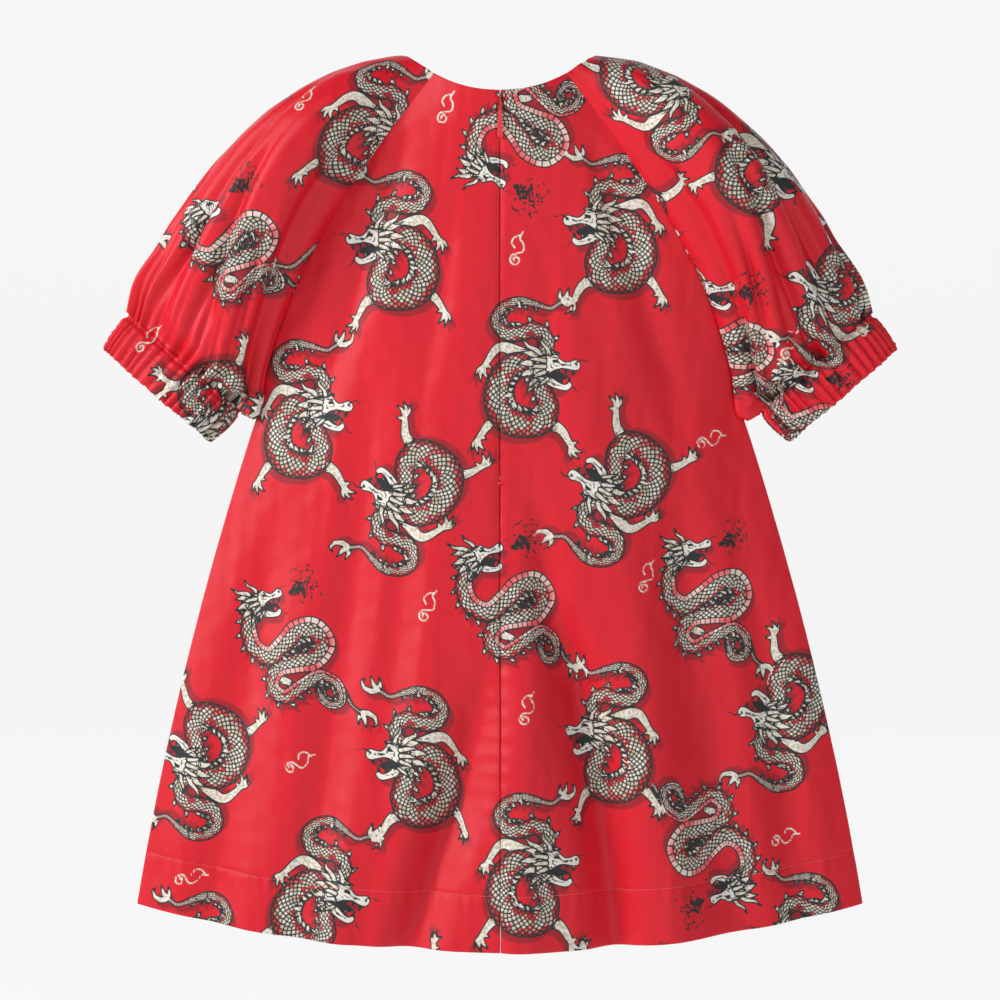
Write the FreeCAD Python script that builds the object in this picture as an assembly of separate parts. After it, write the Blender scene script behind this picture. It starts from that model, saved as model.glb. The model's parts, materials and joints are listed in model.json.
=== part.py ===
import FreeCAD, Part
import math
import os

# A girl's A-line dress with raglan puff sleeves, elasticated cuffs and a concealed centre-back zip,
# as it hangs from its shoulders. Millimetres, +Z up. The back of the dress faces -Y and the wearer's
# left is -X. The origin is midway between the two high shoulder points, where a hanger or a body
# carries the dress. Heights are given as drops, measured down from the high shoulder points.

# Cloth
CLOTH = 1.0                 # outer cloth with its seam allowances
LINING_CLOTH = 0.8
TURN_UP_REACH = 0.985       # share of the half width that the turned-up hem covers
TURN_UP_END = 0.999         # share of the panel's length at which the turn-up starts
LINING_REACH = 0.94         # share of the body's half width that the lining covers
LINING_LAP = 0.012          # share of the panel's length between the facing and the lining
SEAM_GAP = 1.6              # between the sheets on the two sides of a seam
FACING_CLEARANCE = 0.5      # zip tape to the neck facing that is sewn over it
LINING_CLEARANCE = 0.8      # neck facing to the lining
HEM_CLEARANCE = 1.2         # outer cloth to its turned-up hem

# Neck
NECK_HALF_WIDTH = 68.0      # high shoulder point from the centre
NECK_HALF_DEPTH = 40.0      # centre back and centre front from the shoulder line
BACK_NECK_DROP = 29.0
FRONT_NECK_DROP = 72.0
FACING_DEPTH = 32.0
FACING_EDGE = 0.006         # share of the panel's length from the neck edge to the facing's
FACING_SLEEVE = (0.02, 0.15)    # the stretch of the sleeve's top that the facing covers
FACING_MARGIN = (0.06, 0.04)    # round the sleeve's top: left free beside the seam, and at the fold

# Raglan seams, from the neck edge to the underarm
BACK_SEAM_TOP_X = 46.0
BACK_SEAM_TOP_DROP = 16.0
FRONT_SEAM_TOP_X = 56.0
FRONT_SEAM_TOP_DROP = 40.0
UNDERARM_X = 170.0
UNDERARM_DROP = 250.0
RAGLAN_FIRST = (0.5, 0.34)  # the seam's inner control points, in shares of its width and height:
RAGLAN_SECOND = (0.15, 0.39)    # the first from the neck edge, the second from the underarm
SEAM_SHARE = 0.92           # share of the sleeve's length that lies along the raglan seam

# Skirt
DRESS_LENGTH = 620.0
HEM_HALF_WIDTH = 255.0
HEM_SIDE_RISE = 25.0        # the hem's side corners above its middle
HEM_HALF_DEPTH = 58.0
SIDE_SEAM_BULGE = 14.0
HEM_ALLOWANCE = 40.0
LINING_HEM_RISE = 30.0
BODY_ROUND = 2.2            # power of the body's cross-section

# Sleeves and cuffs
CUFF_TOP_X = 221.0          # middle of the gathering line
CUFF_TOP_DROP = 214.0
CUFF_TILT = 41.0            # degrees that the cuff line rises outwards
CUFF_TOP_HALF_WIDTH = 51.5
CUFF_HALF_WIDTH = 49.0
CUFF_LENGTH = 30.0
CUFF_HALF_DEPTH = 17.0
UNDERARM_EASE = 1.5         # room that the sleeve's underarm corner has beyond the seam gap
UNDERARM_EASE_POWER = 4     # keeps that room close to the corner
PUFF_DEPTH = 34.0           # fullness of the sleeve beyond the cuff's depth
OUTER_FIRST = (0.43, 0.02)  # the outer fold's control points, as for the raglan seam
OUTER_SECOND = (0.167, 0.51)
ELASTIC_WIDTH = 20.0
ELASTIC_THICKNESS = 1.4
CASING_CLEARANCE = 0.8      # elastic to the cloth on either side
CASING_MARGIN = 0.03        # share of the way round that the casing leaves at its seam
CASING_THREAD_MARGIN = 0.02
CASING_END = 1.99           # the casing's turned edge, where the cuff's own edge is at 2

# Zip
ZIP_LENGTH = 264.0
ZIP_TOP_GAP = 1.5           # neck edge to the top of the chain
TAPE_WIDTH = 11.0
TAPE_THICKNESS = 0.6
TAPE_TAIL = 12.0
TAPE_CLEARANCE = 1.0        # outer cloth to tape, where the seam allowance lies
COIL_WIDTH = 1.8
COIL_HEIGHT = 1.7
CHAIN_HALF_GAP = 0.7        # half the slot between the two coils
STOP_LENGTH = 3.0
STOP_PROUD = 0.3            # bottom stop beyond the coils
STOP_ROUND = 0.4
CRIMP_LENGTH = 0.9
CRIMP_ROUND = 0.2
TAPE_ROUND = 1.0
TAPE_UNDER_COIL = 0.6       # share of the coil's width that sits on the tape
TAPE_ABOVE = 1.0            # tape above the top of the chain
COIL_ROUND = 0.45           # share of the coil's smaller side
SLIDER_LENGTH = 11.0
SLIDER_CLEARANCE = 0.3
SLIDER_WALL = 1.0
SLIDER_ROUND = 1.2
SLIDER_DROP = 1.0           # top of the chain to the closed slider
FLANGE_INSET = 1.3          # the flanges stop short of the plate's ends
ARM_REACH = 1.2             # the slider's arm outside the cloth
ARM_CLEARANCE = 0.35
ARM_RISE = 0.8              # its sloping back above the eye
ARM_LIP = 0.3               # its lower edge above the pin's height
POST_INSET = 0.3            # top of the post below the top of the slider
EYE_RISE = 2.0              # pin above the slider's lower end
POST_THICKNESS = 0.8
POST_LENGTH = 4.0
PULLER_LENGTH = 21.0
PULLER_WIDTH = 4.2
PULLER_THICKNESS = 1.2
PULLER_PIN_R = 0.5
PIN_CLEARANCE = 0.05
EYE_R = 1.2
FORK_CLEARANCE = 0.15       # the eye to the puller's ears
EAR_WIDTH = 0.7
EAR_LAP = 0.4               # length of the ears that is buried in the blade
NECK_GAP = 0.5              # the eye to the puller's blade
LINING_ZIP_GAP = 10.0       # lining edge from the centre of the zip
BAR_TACK_WIDTH = 5.0
BAR_TACK_GAP = 5.5          # below the end of the chain

# Stitching and label
THREAD = 0.35
THREAD_WIDTH = 0.7
THREAD_REST = 0.05          # between the cloth and the thread that lies on it
STITCH_DROP = 3.0           # casing seam below the gathering line
HEM_STITCH_INSET = 2.0      # hem seam from the inner edge of the turn-up
HEM_STITCH_START = 2.0      # hem seam from the centre-back seam
HEM_STITCH_REACH = 0.99     # share of the half width that the hem seam covers
LABEL_WIDTH = 28.0
LABEL_HEIGHT = 42.0
LABEL_THICKNESS = 0.4
LABEL_DROP = 390.0

PARTS = "parts"
BACK, FRONT = -1, 1
LEFT, RIGHT = -1, 1
ARM_SHARE = (UNDERARM_DROP - BACK_NECK_DROP) / (DRESS_LENGTH - BACK_NECK_DROP)
ZIP_TOP = -BACK_NECK_DROP - ZIP_TOP_GAP
ZIP_BOTTOM = ZIP_TOP - ZIP_LENGTH
CENTRE_EDGE = SEAM_GAP / 2
FACING_GAP = CLOTH / 2 + TAPE_CLEARANCE + TAPE_THICKNESS + FACING_CLEARANCE + LINING_CLOTH / 2
LINING_GAP = FACING_GAP + LINING_CLOTH + LINING_CLEARANCE
STRAIGHT_DROP = -ZIP_BOTTOM + TAPE_TAIL
TAPE_Y = -NECK_HALF_DEPTH + CLOTH / 2 + TAPE_CLEARANCE
COIL_Y = TAPE_Y + TAPE_THICKNESS
COIL_OUT = CHAIN_HALF_GAP + COIL_WIDTH
PLATE_Y = COIL_Y + COIL_HEIGHT + SLIDER_CLEARANCE
SLIDER_TOP = ZIP_TOP - SLIDER_DROP
SLIDER_TRAVEL = ZIP_LENGTH - SLIDER_LENGTH - 2 * SLIDER_DROP
CLOTH_FACE_Y = -NECK_HALF_DEPTH - CLOTH / 2
EYE_Y = CLOTH_FACE_Y - EYE_R - PULLER_THICKNESS / 2
EYE_Z = SLIDER_TOP - SLIDER_LENGTH + EYE_RISE


def mix(a, b, t):
    return a + (b - a) * t


def bezier(points, t):
    """A point of the Bezier curve whose control points are given."""
    while len(points) > 1:
        points = [(mix(a[0], b[0], t), mix(a[1], b[1], t)) for a, b in zip(points, points[1:])]
    return points[0]


def smooth(t):
    t = max(0.0, min(1.0, t))
    return t * t * (3 - 2 * t)


# Outlines in the plane of the dress, for the wearer's right half, as (x, z)

def raglan(t, face):
    """The raglan seam from the neck edge at t = 0 to the underarm at t = 1."""
    if face == BACK:
        x0, z0 = BACK_SEAM_TOP_X, -BACK_SEAM_TOP_DROP
    else:
        x0, z0 = FRONT_SEAM_TOP_X, -FRONT_SEAM_TOP_DROP
    x1, z1 = UNDERARM_X, -UNDERARM_DROP
    width, height = x1 - x0, z0 - z1
    first, second = RAGLAN_FIRST, RAGLAN_SECOND
    return bezier([(x0, z0), (x0 + first[0] * width, z0 - first[1] * height),
                   (x1 - second[0] * width, z1 + second[1] * height), (x1, z1)], t)


def side_seam(t):
    """The side seam from the underarm at t = 0 to the hem at t = 1."""
    x0, z0 = UNDERARM_X, -UNDERARM_DROP
    x1, z1 = HEM_HALF_WIDTH, -(DRESS_LENGTH - HEM_SIDE_RISE)
    return bezier([(x0, z0), ((x0 + x1) / 2 + SIDE_SEAM_BULGE, (z0 + z1) / 2), (x1, z1)], t)


def body_edge(v, face):
    """The outer edge of the body, down the raglan seam and then the side seam."""
    if v <= ARM_SHARE:
        return raglan(v / ARM_SHARE, face)
    return side_seam((v - ARM_SHARE) / (1 - ARM_SHARE))


def seam_depth(t, face):
    """How far the raglan seam stands from the plane of the side seams."""
    x = BACK_SEAM_TOP_X if face == BACK else FRONT_SEAM_TOP_X
    top = NECK_HALF_DEPTH * math.sqrt(1 - (x / NECK_HALF_WIDTH) ** 2)
    return mix(top, CENTRE_EDGE, smooth(t * t))


def body_depth(z):
    """Depth of the body at its centre line: straight behind the zip, then flaring to the hem."""
    t = (-z - STRAIGHT_DROP) / (DRESS_LENGTH - STRAIGHT_DROP)
    return mix(NECK_HALF_DEPTH, HEM_HALF_DEPTH, smooth(t))


def body_point(x, v, face):
    """A point of the body's cloth, x from the centre, v from the neck edge at 0 to the hem at 1."""
    edge_x, edge_z = body_edge(v, face)
    top = BACK_NECK_DROP if face == BACK else FRONT_NECK_DROP
    centre_z = -mix(top, DRESS_LENGTH, v)
    u = abs(x) / edge_x
    z = mix(centre_z, edge_z, u ** BODY_ROUND)
    edge_y = seam_depth(v / ARM_SHARE, face)
    y = mix(body_depth(centre_z), edge_y, u ** BODY_ROUND)
    return FreeCAD.Vector(x, face * y, z)


def cuff_end(half_width, along, side):
    """The outer (side 1) or inner (side -1) corner of the cuff, along its length."""
    tilt = math.radians(CUFF_TILT)
    x = CUFF_TOP_X + along * math.sin(tilt) + side * half_width * math.cos(tilt)
    z = -CUFF_TOP_DROP - along * math.cos(tilt) + side * half_width * math.sin(tilt)
    return x, z


def sleeve_outer(w):
    """The outer fold of the sleeve from the high shoulder point at w = 0 to the gathering line at 1."""
    x0, z0 = NECK_HALF_WIDTH, 0.0
    x1, z1 = cuff_end(CUFF_TOP_HALF_WIDTH, 0, 1)
    width, height = x1 - x0, z0 - z1
    first, second = OUTER_FIRST, OUTER_SECOND
    return bezier([(x0, z0), (x0 + first[0] * width, z0 - first[1] * height),
                   (x1 - second[0] * width, z1 + second[1] * height), (x1, z1)], w)


def sleeve_inner(w, face):
    """The inner edge of the sleeve: along the raglan seam, then under the arm to the cuff."""
    if w <= SEAM_SHARE:
        x, z = raglan(w / SEAM_SHARE, face)
        return x + SEAM_GAP + UNDERARM_EASE * (w / SEAM_SHARE) ** UNDERARM_EASE_POWER, z
    x0, z0 = UNDERARM_X + SEAM_GAP + UNDERARM_EASE, -UNDERARM_DROP
    x1, z1 = cuff_end(CUFF_TOP_HALF_WIDTH, 0, -1)
    t = (w - SEAM_SHARE) / (1 - SEAM_SHARE)
    return mix(x0, x1, t), mix(z0, z1, t)


def sleeve_point(q, w):
    """A point of the sleeve's cloth. q runs round it from the back seam at 0 over the outer fold at
    0.5 to the front seam at 1; w runs from the neck edge at 0 to the gathering line at 1, and on to
    the cuff's edge at 2."""
    face = BACK if q < 0.5 else FRONT
    u = 2 * q if q < 0.5 else 2 - 2 * q
    if w <= 1:
        inner, outer = sleeve_inner(w, face), sleeve_outer(w)
        seam = seam_depth(w / SEAM_SHARE, face)
        fullness = CUFF_HALF_DEPTH * w + PUFF_DEPTH * math.sin(math.pi * w)
        flat = 1 - smooth(w / SEAM_SHARE)
    else:
        half_width = mix(CUFF_TOP_HALF_WIDTH, CUFF_HALF_WIDTH, w - 1)
        inner = cuff_end(half_width, (w - 1) * CUFF_LENGTH, -1)
        outer = cuff_end(half_width, (w - 1) * CUFF_LENGTH, 1)
        seam, fullness, flat = CENTRE_EDGE, CUFF_HALF_DEPTH, 0.0
    across = mix((1 - math.cos(math.pi * u)) / 2, math.sin(math.pi * u / 2), flat)
    y = seam * math.cos(math.pi * u / 2) + fullness * math.sin(math.pi * u)
    return FreeCAD.Vector(mix(inner[0], outer[0], across), face * y, mix(inner[1], outer[1], across))


# Sheets of cloth as closed solids

def spread(start, end, count, power=1.0):
    """Values from start to end, closer together near the start where power is over 1."""
    return [mix(start, end, (i / (count - 1)) ** power) for i in range(count)]


def normal_at(surface_point, a, b, step=1e-3):
    da = surface_point(a + step, b) - surface_point(a - step, b)
    db = surface_point(a, b + step) - surface_point(a, b - step)
    n = da.cross(db)
    return n.normalize()


def sheet(surface_point, a_values, b_values, thickness, inset=0.0):
    """A closed solid of the given thickness about the surface, moved inset along its normal."""
    def skin(offset):
        rows = []
        for a in a_values:
            rows.append([surface_point(a, b) + normal_at(surface_point, a, b) * offset for b in b_values])
        surface = Part.BSplineSurface()
        surface.interpolate(rows)
        return surface

    outer, inner = skin(inset + thickness / 2), skin(inset - thickness / 2)
    u0, u1, v0, v1 = outer.bounds()
    faces = [outer.toShape(), inner.toShape()]
    for edges in ([s.uIso(u0).toShape() for s in (outer, inner)],
                  [s.uIso(u1).toShape() for s in (outer, inner)],
                  [s.vIso(v0).toShape() for s in (outer, inner)],
                  [s.vIso(v1).toShape() for s in (outer, inner)]):
        faces.append(Part.makeRuledSurface(*edges))
    shell = Part.makeShell(faces)
    shell.sewShape()
    solid = Part.Solid(Part.Shell(shell.Faces))
    if solid.Volume < 0:
        solid.reverse()
    return solid


def body_sheet(face, side, v0, v1, thickness, inset=0.0, start=CENTRE_EDGE, reach=1.0, back_off=0.0,
               rows=24, columns=10):
    """A sheet of one half of the body, from start to reach times the half width, moved back_off
    towards the middle of the dress and inset along its normal."""
    def point(s, v):
        edge = body_edge(v, face)[0]
        p = body_point(mix(start, edge * reach, s), v, face)
        return FreeCAD.Vector(side * p.x, p.y - face * back_off, p.z)

    inward = side * face * inset
    return sheet(point, spread(0, 1, columns), spread(v0, v1, rows, 1.5), thickness, inward)


def whole_sheet(face, v0, v1, thickness, inset=0.0, reach=1.0, back_off=0.0, rows=24, columns=19):
    """A sheet across the whole width of the body."""
    def point(s, v):
        p = body_point(s * body_edge(v, face)[0] * reach, v, face)
        return FreeCAD.Vector(p.x, p.y - face * back_off, p.z)

    return sheet(point, spread(-1, 1, columns), spread(v0, v1, rows, 1.5), thickness, face * inset)


def sleeve_sheet(side, q0, q1, w_values, thickness, inset=0.0, columns=15):
    """A sheet of one sleeve, inset towards its inside."""
    def point(q, w):
        p = sleeve_point(q, w)
        return FreeCAD.Vector(side * p.x, p.y, p.z)

    return sheet(point, spread(q0, q1, columns), w_values, thickness, side * inset)


def hem_share(rise, face):
    """v of a line that lies the given height above the hem's middle."""
    top = BACK_NECK_DROP if face == BACK else FRONT_NECK_DROP
    return 1 - rise / (DRESS_LENGTH - top)


def facing_share(face):
    return 1 - hem_share(FACING_DEPTH, face)


def panels():
    """The three outer body panels, each with its hem turned up inside it."""
    turn_up = CLOTH / 2 + HEM_CLEARANCE + LINING_CLOTH / 2
    made = {"front_panel": [
        whole_sheet(FRONT, 0, 1, CLOTH),
        whole_sheet(FRONT, hem_share(HEM_ALLOWANCE, FRONT), TURN_UP_END, LINING_CLOTH,
                    reach=TURN_UP_REACH, back_off=turn_up, rows=4)]}
    for name, side in (("left", LEFT), ("right", RIGHT)):
        made["back_panel_" + name] = [
            body_sheet(BACK, side, 0, 1, CLOTH),
            body_sheet(BACK, side, hem_share(HEM_ALLOWANCE, BACK), TURN_UP_END, LINING_CLOTH,
                       reach=TURN_UP_REACH, back_off=turn_up, rows=4)]
    return made


def neck_facings():
    """The facing inside the neck edge, in the three lengths that it is cut in."""
    tops = spread(*FACING_SLEEVE, 4)
    seam, fold = FACING_MARGIN
    pieces = {"neck_facing_front": [
        whole_sheet(FRONT, FACING_EDGE, facing_share(FRONT), LINING_CLOTH, reach=LINING_REACH,
                    back_off=FACING_GAP, rows=7)]}
    for name, side in (("left", LEFT), ("right", RIGHT)):
        pieces["neck_facing_back_" + name] = [
            body_sheet(BACK, side, FACING_EDGE, facing_share(BACK), LINING_CLOTH, start=LINING_ZIP_GAP,
                       reach=LINING_REACH, back_off=FACING_GAP, rows=7),
            sleeve_sheet(side, seam, 0.5 - fold, tops, LINING_CLOTH, FACING_GAP, columns=6)]
        pieces["neck_facing_front"].append(
            sleeve_sheet(side, 0.5 + fold, 1 - seam, tops, LINING_CLOTH, FACING_GAP, columns=6))
    return pieces


def linings():
    """The loose lining, from under the facing to a little above the hem."""
    made = {"lining_front": [
        whole_sheet(FRONT, facing_share(FRONT) + LINING_LAP, hem_share(LINING_HEM_RISE, FRONT), LINING_CLOTH,
                    reach=LINING_REACH, back_off=LINING_GAP)]}
    for name, side in (("left", LEFT), ("right", RIGHT)):
        made["lining_back_" + name] = [
            body_sheet(BACK, side, facing_share(BACK) + LINING_LAP, hem_share(LINING_HEM_RISE, BACK),
                       LINING_CLOTH, start=LINING_ZIP_GAP, reach=LINING_REACH, back_off=LINING_GAP)]
    return made


def care_label():
    """A blank label that hangs from the lining's side seam on the wearer's left."""
    v = (LABEL_DROP - BACK_NECK_DROP) / (DRESS_LENGTH - BACK_NECK_DROP)
    x = -LINING_REACH * body_edge(v, BACK)[0] + SEAM_GAP
    label = block((x, x + LABEL_WIDTH), (-LABEL_THICKNESS / 2, LABEL_THICKNESS / 2),
                  (-LABEL_DROP - LABEL_HEIGHT, -LABEL_DROP))
    return [label]


def sleeves():
    """Each sleeve with its end turned in as a casing, the elastic in it, and the casing's seam."""
    made = {}
    rows = spread(0, SEAM_SHARE, 18) + spread(SEAM_SHARE, 1, 4)[1:] + spread(1, 2, 5)[1:]
    elastic_inset = CLOTH / 2 + CASING_CLEARANCE + ELASTIC_THICKNESS / 2
    casing_inset = elastic_inset + ELASTIC_THICKNESS / 2 + CASING_CLEARANCE + LINING_CLOTH / 2
    middle = 1.5 + STITCH_DROP / (2 * CUFF_LENGTH)
    reach = ELASTIC_WIDTH / (2 * CUFF_LENGTH)
    stitch = 1 + STITCH_DROP / CUFF_LENGTH
    stitch_reach = THREAD_WIDTH / (2 * CUFF_LENGTH)
    start, end = CASING_MARGIN, 1 - CASING_MARGIN
    for name, side in (("left", LEFT), ("right", RIGHT)):
        made["sleeve_" + name] = [
            sleeve_sheet(side, 0, 1, rows, CLOTH),
            sleeve_sheet(side, start, end, spread(stitch, CASING_END, 4), LINING_CLOTH, casing_inset)]
        made["cuff_elastic_" + name] = [
            sleeve_sheet(side, start, end, spread(middle - reach, middle + reach, 4),
                         ELASTIC_THICKNESS, elastic_inset)]
        made["cuff_thread_" + name] = [
            sleeve_sheet(side, CASING_THREAD_MARGIN, 1 - CASING_THREAD_MARGIN,
                         spread(stitch - stitch_reach, stitch + stitch_reach, 3),
                         THREAD, -(CLOTH / 2 + THREAD))]
    return made


def hem_thread():
    """The topstitching that holds the hem up, a line on each of the three panels."""
    half = THREAD_WIDTH / 2
    proud = -(CLOTH / 2 + THREAD)
    middle = HEM_ALLOWANCE - HEM_STITCH_INSET
    front = [hem_share(middle + d, FRONT) for d in (half, -half)]
    back = [hem_share(middle + d, BACK) for d in (half, -half)]
    made = [whole_sheet(FRONT, front[0], front[1], THREAD, proud, reach=HEM_STITCH_REACH, rows=3)]
    for side in (LEFT, RIGHT):
        made.append(body_sheet(BACK, side, back[0], back[1], THREAD, proud, start=HEM_STITCH_START,
                               reach=HEM_STITCH_REACH, rows=3))
    return made


# Zip

def block(x, y, z):
    """A box between the two limits given for each axis."""
    return Part.makeBox(x[1] - x[0], y[1] - y[0], z[1] - z[0], FreeCAD.Vector(x[0], y[0], z[0]))


def on_side(shape, side):
    return shape if side == RIGHT else shape.mirror(FreeCAD.Vector(0, 0, 0), FreeCAD.Vector(1, 0, 0))


def zip_tape(side):
    """A woven tape with rounded corners, from the neck edge to below the stop."""
    inner = COIL_OUT - COIL_WIDTH * TAPE_UNDER_COIL
    tape = block((inner, inner + TAPE_WIDTH), (TAPE_Y, TAPE_Y + TAPE_THICKNESS),
                 (ZIP_BOTTOM - TAPE_TAIL, ZIP_TOP + TAPE_ABOVE))
    corners = [e for e in tape.Edges if abs(e.tangentAt(e.FirstParameter).y) > 0.9]
    return on_side(tape.makeFillet(TAPE_ROUND, corners), side)


def zip_coil(side):
    """One row of the coil chain, as the bar that its turns fill."""
    coil = block((CHAIN_HALF_GAP, COIL_OUT), (COIL_Y, COIL_Y + COIL_HEIGHT), (ZIP_BOTTOM, ZIP_TOP))
    inside = [e for e in coil.Edges
              if abs(e.tangentAt(e.FirstParameter).z) > 0.9 and e.CenterOfMass.y > COIL_Y + 0.5 * COIL_HEIGHT]
    return on_side(coil.makeFillet(COIL_ROUND * min(COIL_WIDTH, COIL_HEIGHT), inside), side)


def zip_stops():
    """A crimp above each coil, and the box stop below both."""
    tops = []
    for side in (LEFT, RIGHT):
        crimp = block((CHAIN_HALF_GAP, COIL_OUT), (COIL_Y, COIL_Y + COIL_HEIGHT),
                      (ZIP_TOP, ZIP_TOP + CRIMP_LENGTH))
        tops.append(on_side(crimp.makeFillet(CRIMP_ROUND, crimp.Edges), side))
    bottom = block((-COIL_OUT, COIL_OUT), (COIL_Y, COIL_Y + COIL_HEIGHT + STOP_PROUD),
                   (ZIP_BOTTOM - STOP_LENGTH, ZIP_BOTTOM))
    return tops, [bottom.makeFillet(STOP_ROUND, bottom.Edges)]


def zip_slider():
    """The slider: a plate and two flanges round the coils inside the dress, and a post that passes
    between the edges of the cloth to the eye outside."""
    half = COIL_OUT + SLIDER_CLEARANCE + SLIDER_WALL
    z = (SLIDER_TOP - SLIDER_LENGTH, SLIDER_TOP)
    plate = block((-half, half), (PLATE_Y, PLATE_Y + SLIDER_WALL), z)
    rim = [e for e in plate.Edges if abs(e.tangentAt(e.FirstParameter).y) > 0.9]
    body = plate.makeFillet(SLIDER_ROUND, rim)
    for side in (LEFT, RIGHT):
        flange = block((COIL_OUT + SLIDER_CLEARANCE, half),
                       (COIL_Y + SLIDER_CLEARANCE, PLATE_Y + SLIDER_WALL / 2),
                       (z[0] + FLANGE_INSET, z[1] - FLANGE_INSET))
        body = body.fuse(on_side(flange, side))
    half_post = POST_THICKNESS / 2
    far, near, top = CLOTH_FACE_Y - ARM_REACH, CLOTH_FACE_Y - ARM_CLEARANCE, SLIDER_TOP - POST_INSET
    post = block((-half_post, half_post), (far, PLATE_Y + SLIDER_WALL / 2), (SLIDER_TOP - POST_LENGTH, top))
    profile = [(far, top), (near, top), (near, EYE_Z), (EYE_Y, EYE_Z), (EYE_Y, EYE_Z + ARM_LIP),
               (far, EYE_Z + EYE_R + ARM_RISE)]
    corners = [FreeCAD.Vector(-half_post, y, zz) for y, zz in profile]
    arm = Part.Face(Part.makePolygon(corners + corners[:1])).extrude(FreeCAD.Vector(POST_THICKNESS, 0, 0))
    eye = Part.makeCylinder(EYE_R, POST_THICKNESS, FreeCAD.Vector(-half_post, EYE_Y, EYE_Z),
                            FreeCAD.Vector(1, 0, 0))
    hole = Part.makeCylinder(PULLER_PIN_R + PIN_CLEARANCE, 4 * POST_THICKNESS,
                             FreeCAD.Vector(-2 * POST_THICKNESS, EYE_Y, EYE_Z), FreeCAD.Vector(1, 0, 0))
    return body.fuse([post, arm, eye]).cut(hole).removeSplitter()


def zip_puller():
    """A drop-shaped pull tab that hangs by a pin from the slider's eye."""
    half_fork = POST_THICKNESS / 2 + FORK_CLEARANCE
    neck_z = EYE_Z - EYE_R - NECK_GAP
    tip_z = EYE_Z - PULLER_LENGTH
    tip_r = PULLER_WIDTH / 2
    y0 = EYE_Y - PULLER_THICKNESS / 2
    shoulder = half_fork + EAR_WIDTH
    left = FreeCAD.Vector(-shoulder, y0, neck_z)
    right = FreeCAD.Vector(shoulder, y0, neck_z)
    low_left = FreeCAD.Vector(-tip_r, y0, tip_z + tip_r)
    low_right = FreeCAD.Vector(tip_r, y0, tip_z + tip_r)
    tip = FreeCAD.Vector(0, y0, tip_z)
    outline = Part.Wire([Part.LineSegment(left, right).toShape(),
                         Part.LineSegment(right, low_right).toShape(),
                         Part.Arc(low_right, tip, low_left).toShape(),
                         Part.LineSegment(low_left, left).toShape()])
    tab = Part.Face(outline).extrude(FreeCAD.Vector(0, PULLER_THICKNESS, 0))
    for side in (LEFT, RIGHT):
        lug = block((half_fork, shoulder), (y0, y0 + PULLER_THICKNESS), (neck_z - EAR_LAP, EYE_Z))
        boss = Part.makeCylinder(PULLER_THICKNESS / 2, EAR_WIDTH,
                                 FreeCAD.Vector(half_fork, EYE_Y, EYE_Z), FreeCAD.Vector(1, 0, 0))
        tab = tab.fuse([on_side(lug, side), on_side(boss, side)])
    half_pin = half_fork + EAR_WIDTH / 2
    pin = Part.makeCylinder(PULLER_PIN_R, 2 * half_pin, FreeCAD.Vector(-half_pin, EYE_Y, EYE_Z),
                            FreeCAD.Vector(1, 0, 0))
    return tab.fuse(pin).removeSplitter()


def bar_tack():
    """A dense bar of stitches across the seam, below the end of the zip."""
    z = ZIP_BOTTOM - BAR_TACK_GAP
    return [block((-BAR_TACK_WIDTH / 2, BAR_TACK_WIDTH / 2),
                  (CLOTH_FACE_Y - THREAD_REST - THREAD, CLOTH_FACE_Y - THREAD_REST),
                  (z - THREAD_WIDTH, z + THREAD_WIDTH))]


def zip_parts():
    tops, bottom = zip_stops()
    made = {"zip_top_stops": tops, "zip_bottom_stop": bottom,
            "zip_slider": [zip_slider()], "zip_puller": [zip_puller()]}
    for name, side in (("left", LEFT), ("right", RIGHT)):
        made["zip_tape_" + name] = [zip_tape(side)]
        made["zip_coil_" + name] = [zip_coil(side)]
    return made


def main():
    os.makedirs(PARTS, exist_ok=True)
    nodes = {"hem_thread": hem_thread(), "care_label": care_label(), "zip_bar_tack": bar_tack()}
    for group in (panels, neck_facings, linings, sleeves, zip_parts):
        nodes.update(group())
    for name, solids in sorted(nodes.items()):
        shape = solids[0] if len(solids) == 1 else Part.makeCompound(solids)
        shape.exportStep(os.path.join(PARTS, name + ".step"))
        sound = all(s.isValid() and s.Volume > 0 for s in solids)
        print("%-24s solids %d  volume %9.1f mm3  %s" % (name, len(solids), shape.Volume,
                                                        "sound" if sound else "NOT SOUND"))
    print("puller pin at y %.3f z %.3f, slider travel %.1f" % (EYE_Y, EYE_Z, SLIDER_TRAVEL))


main()
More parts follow.
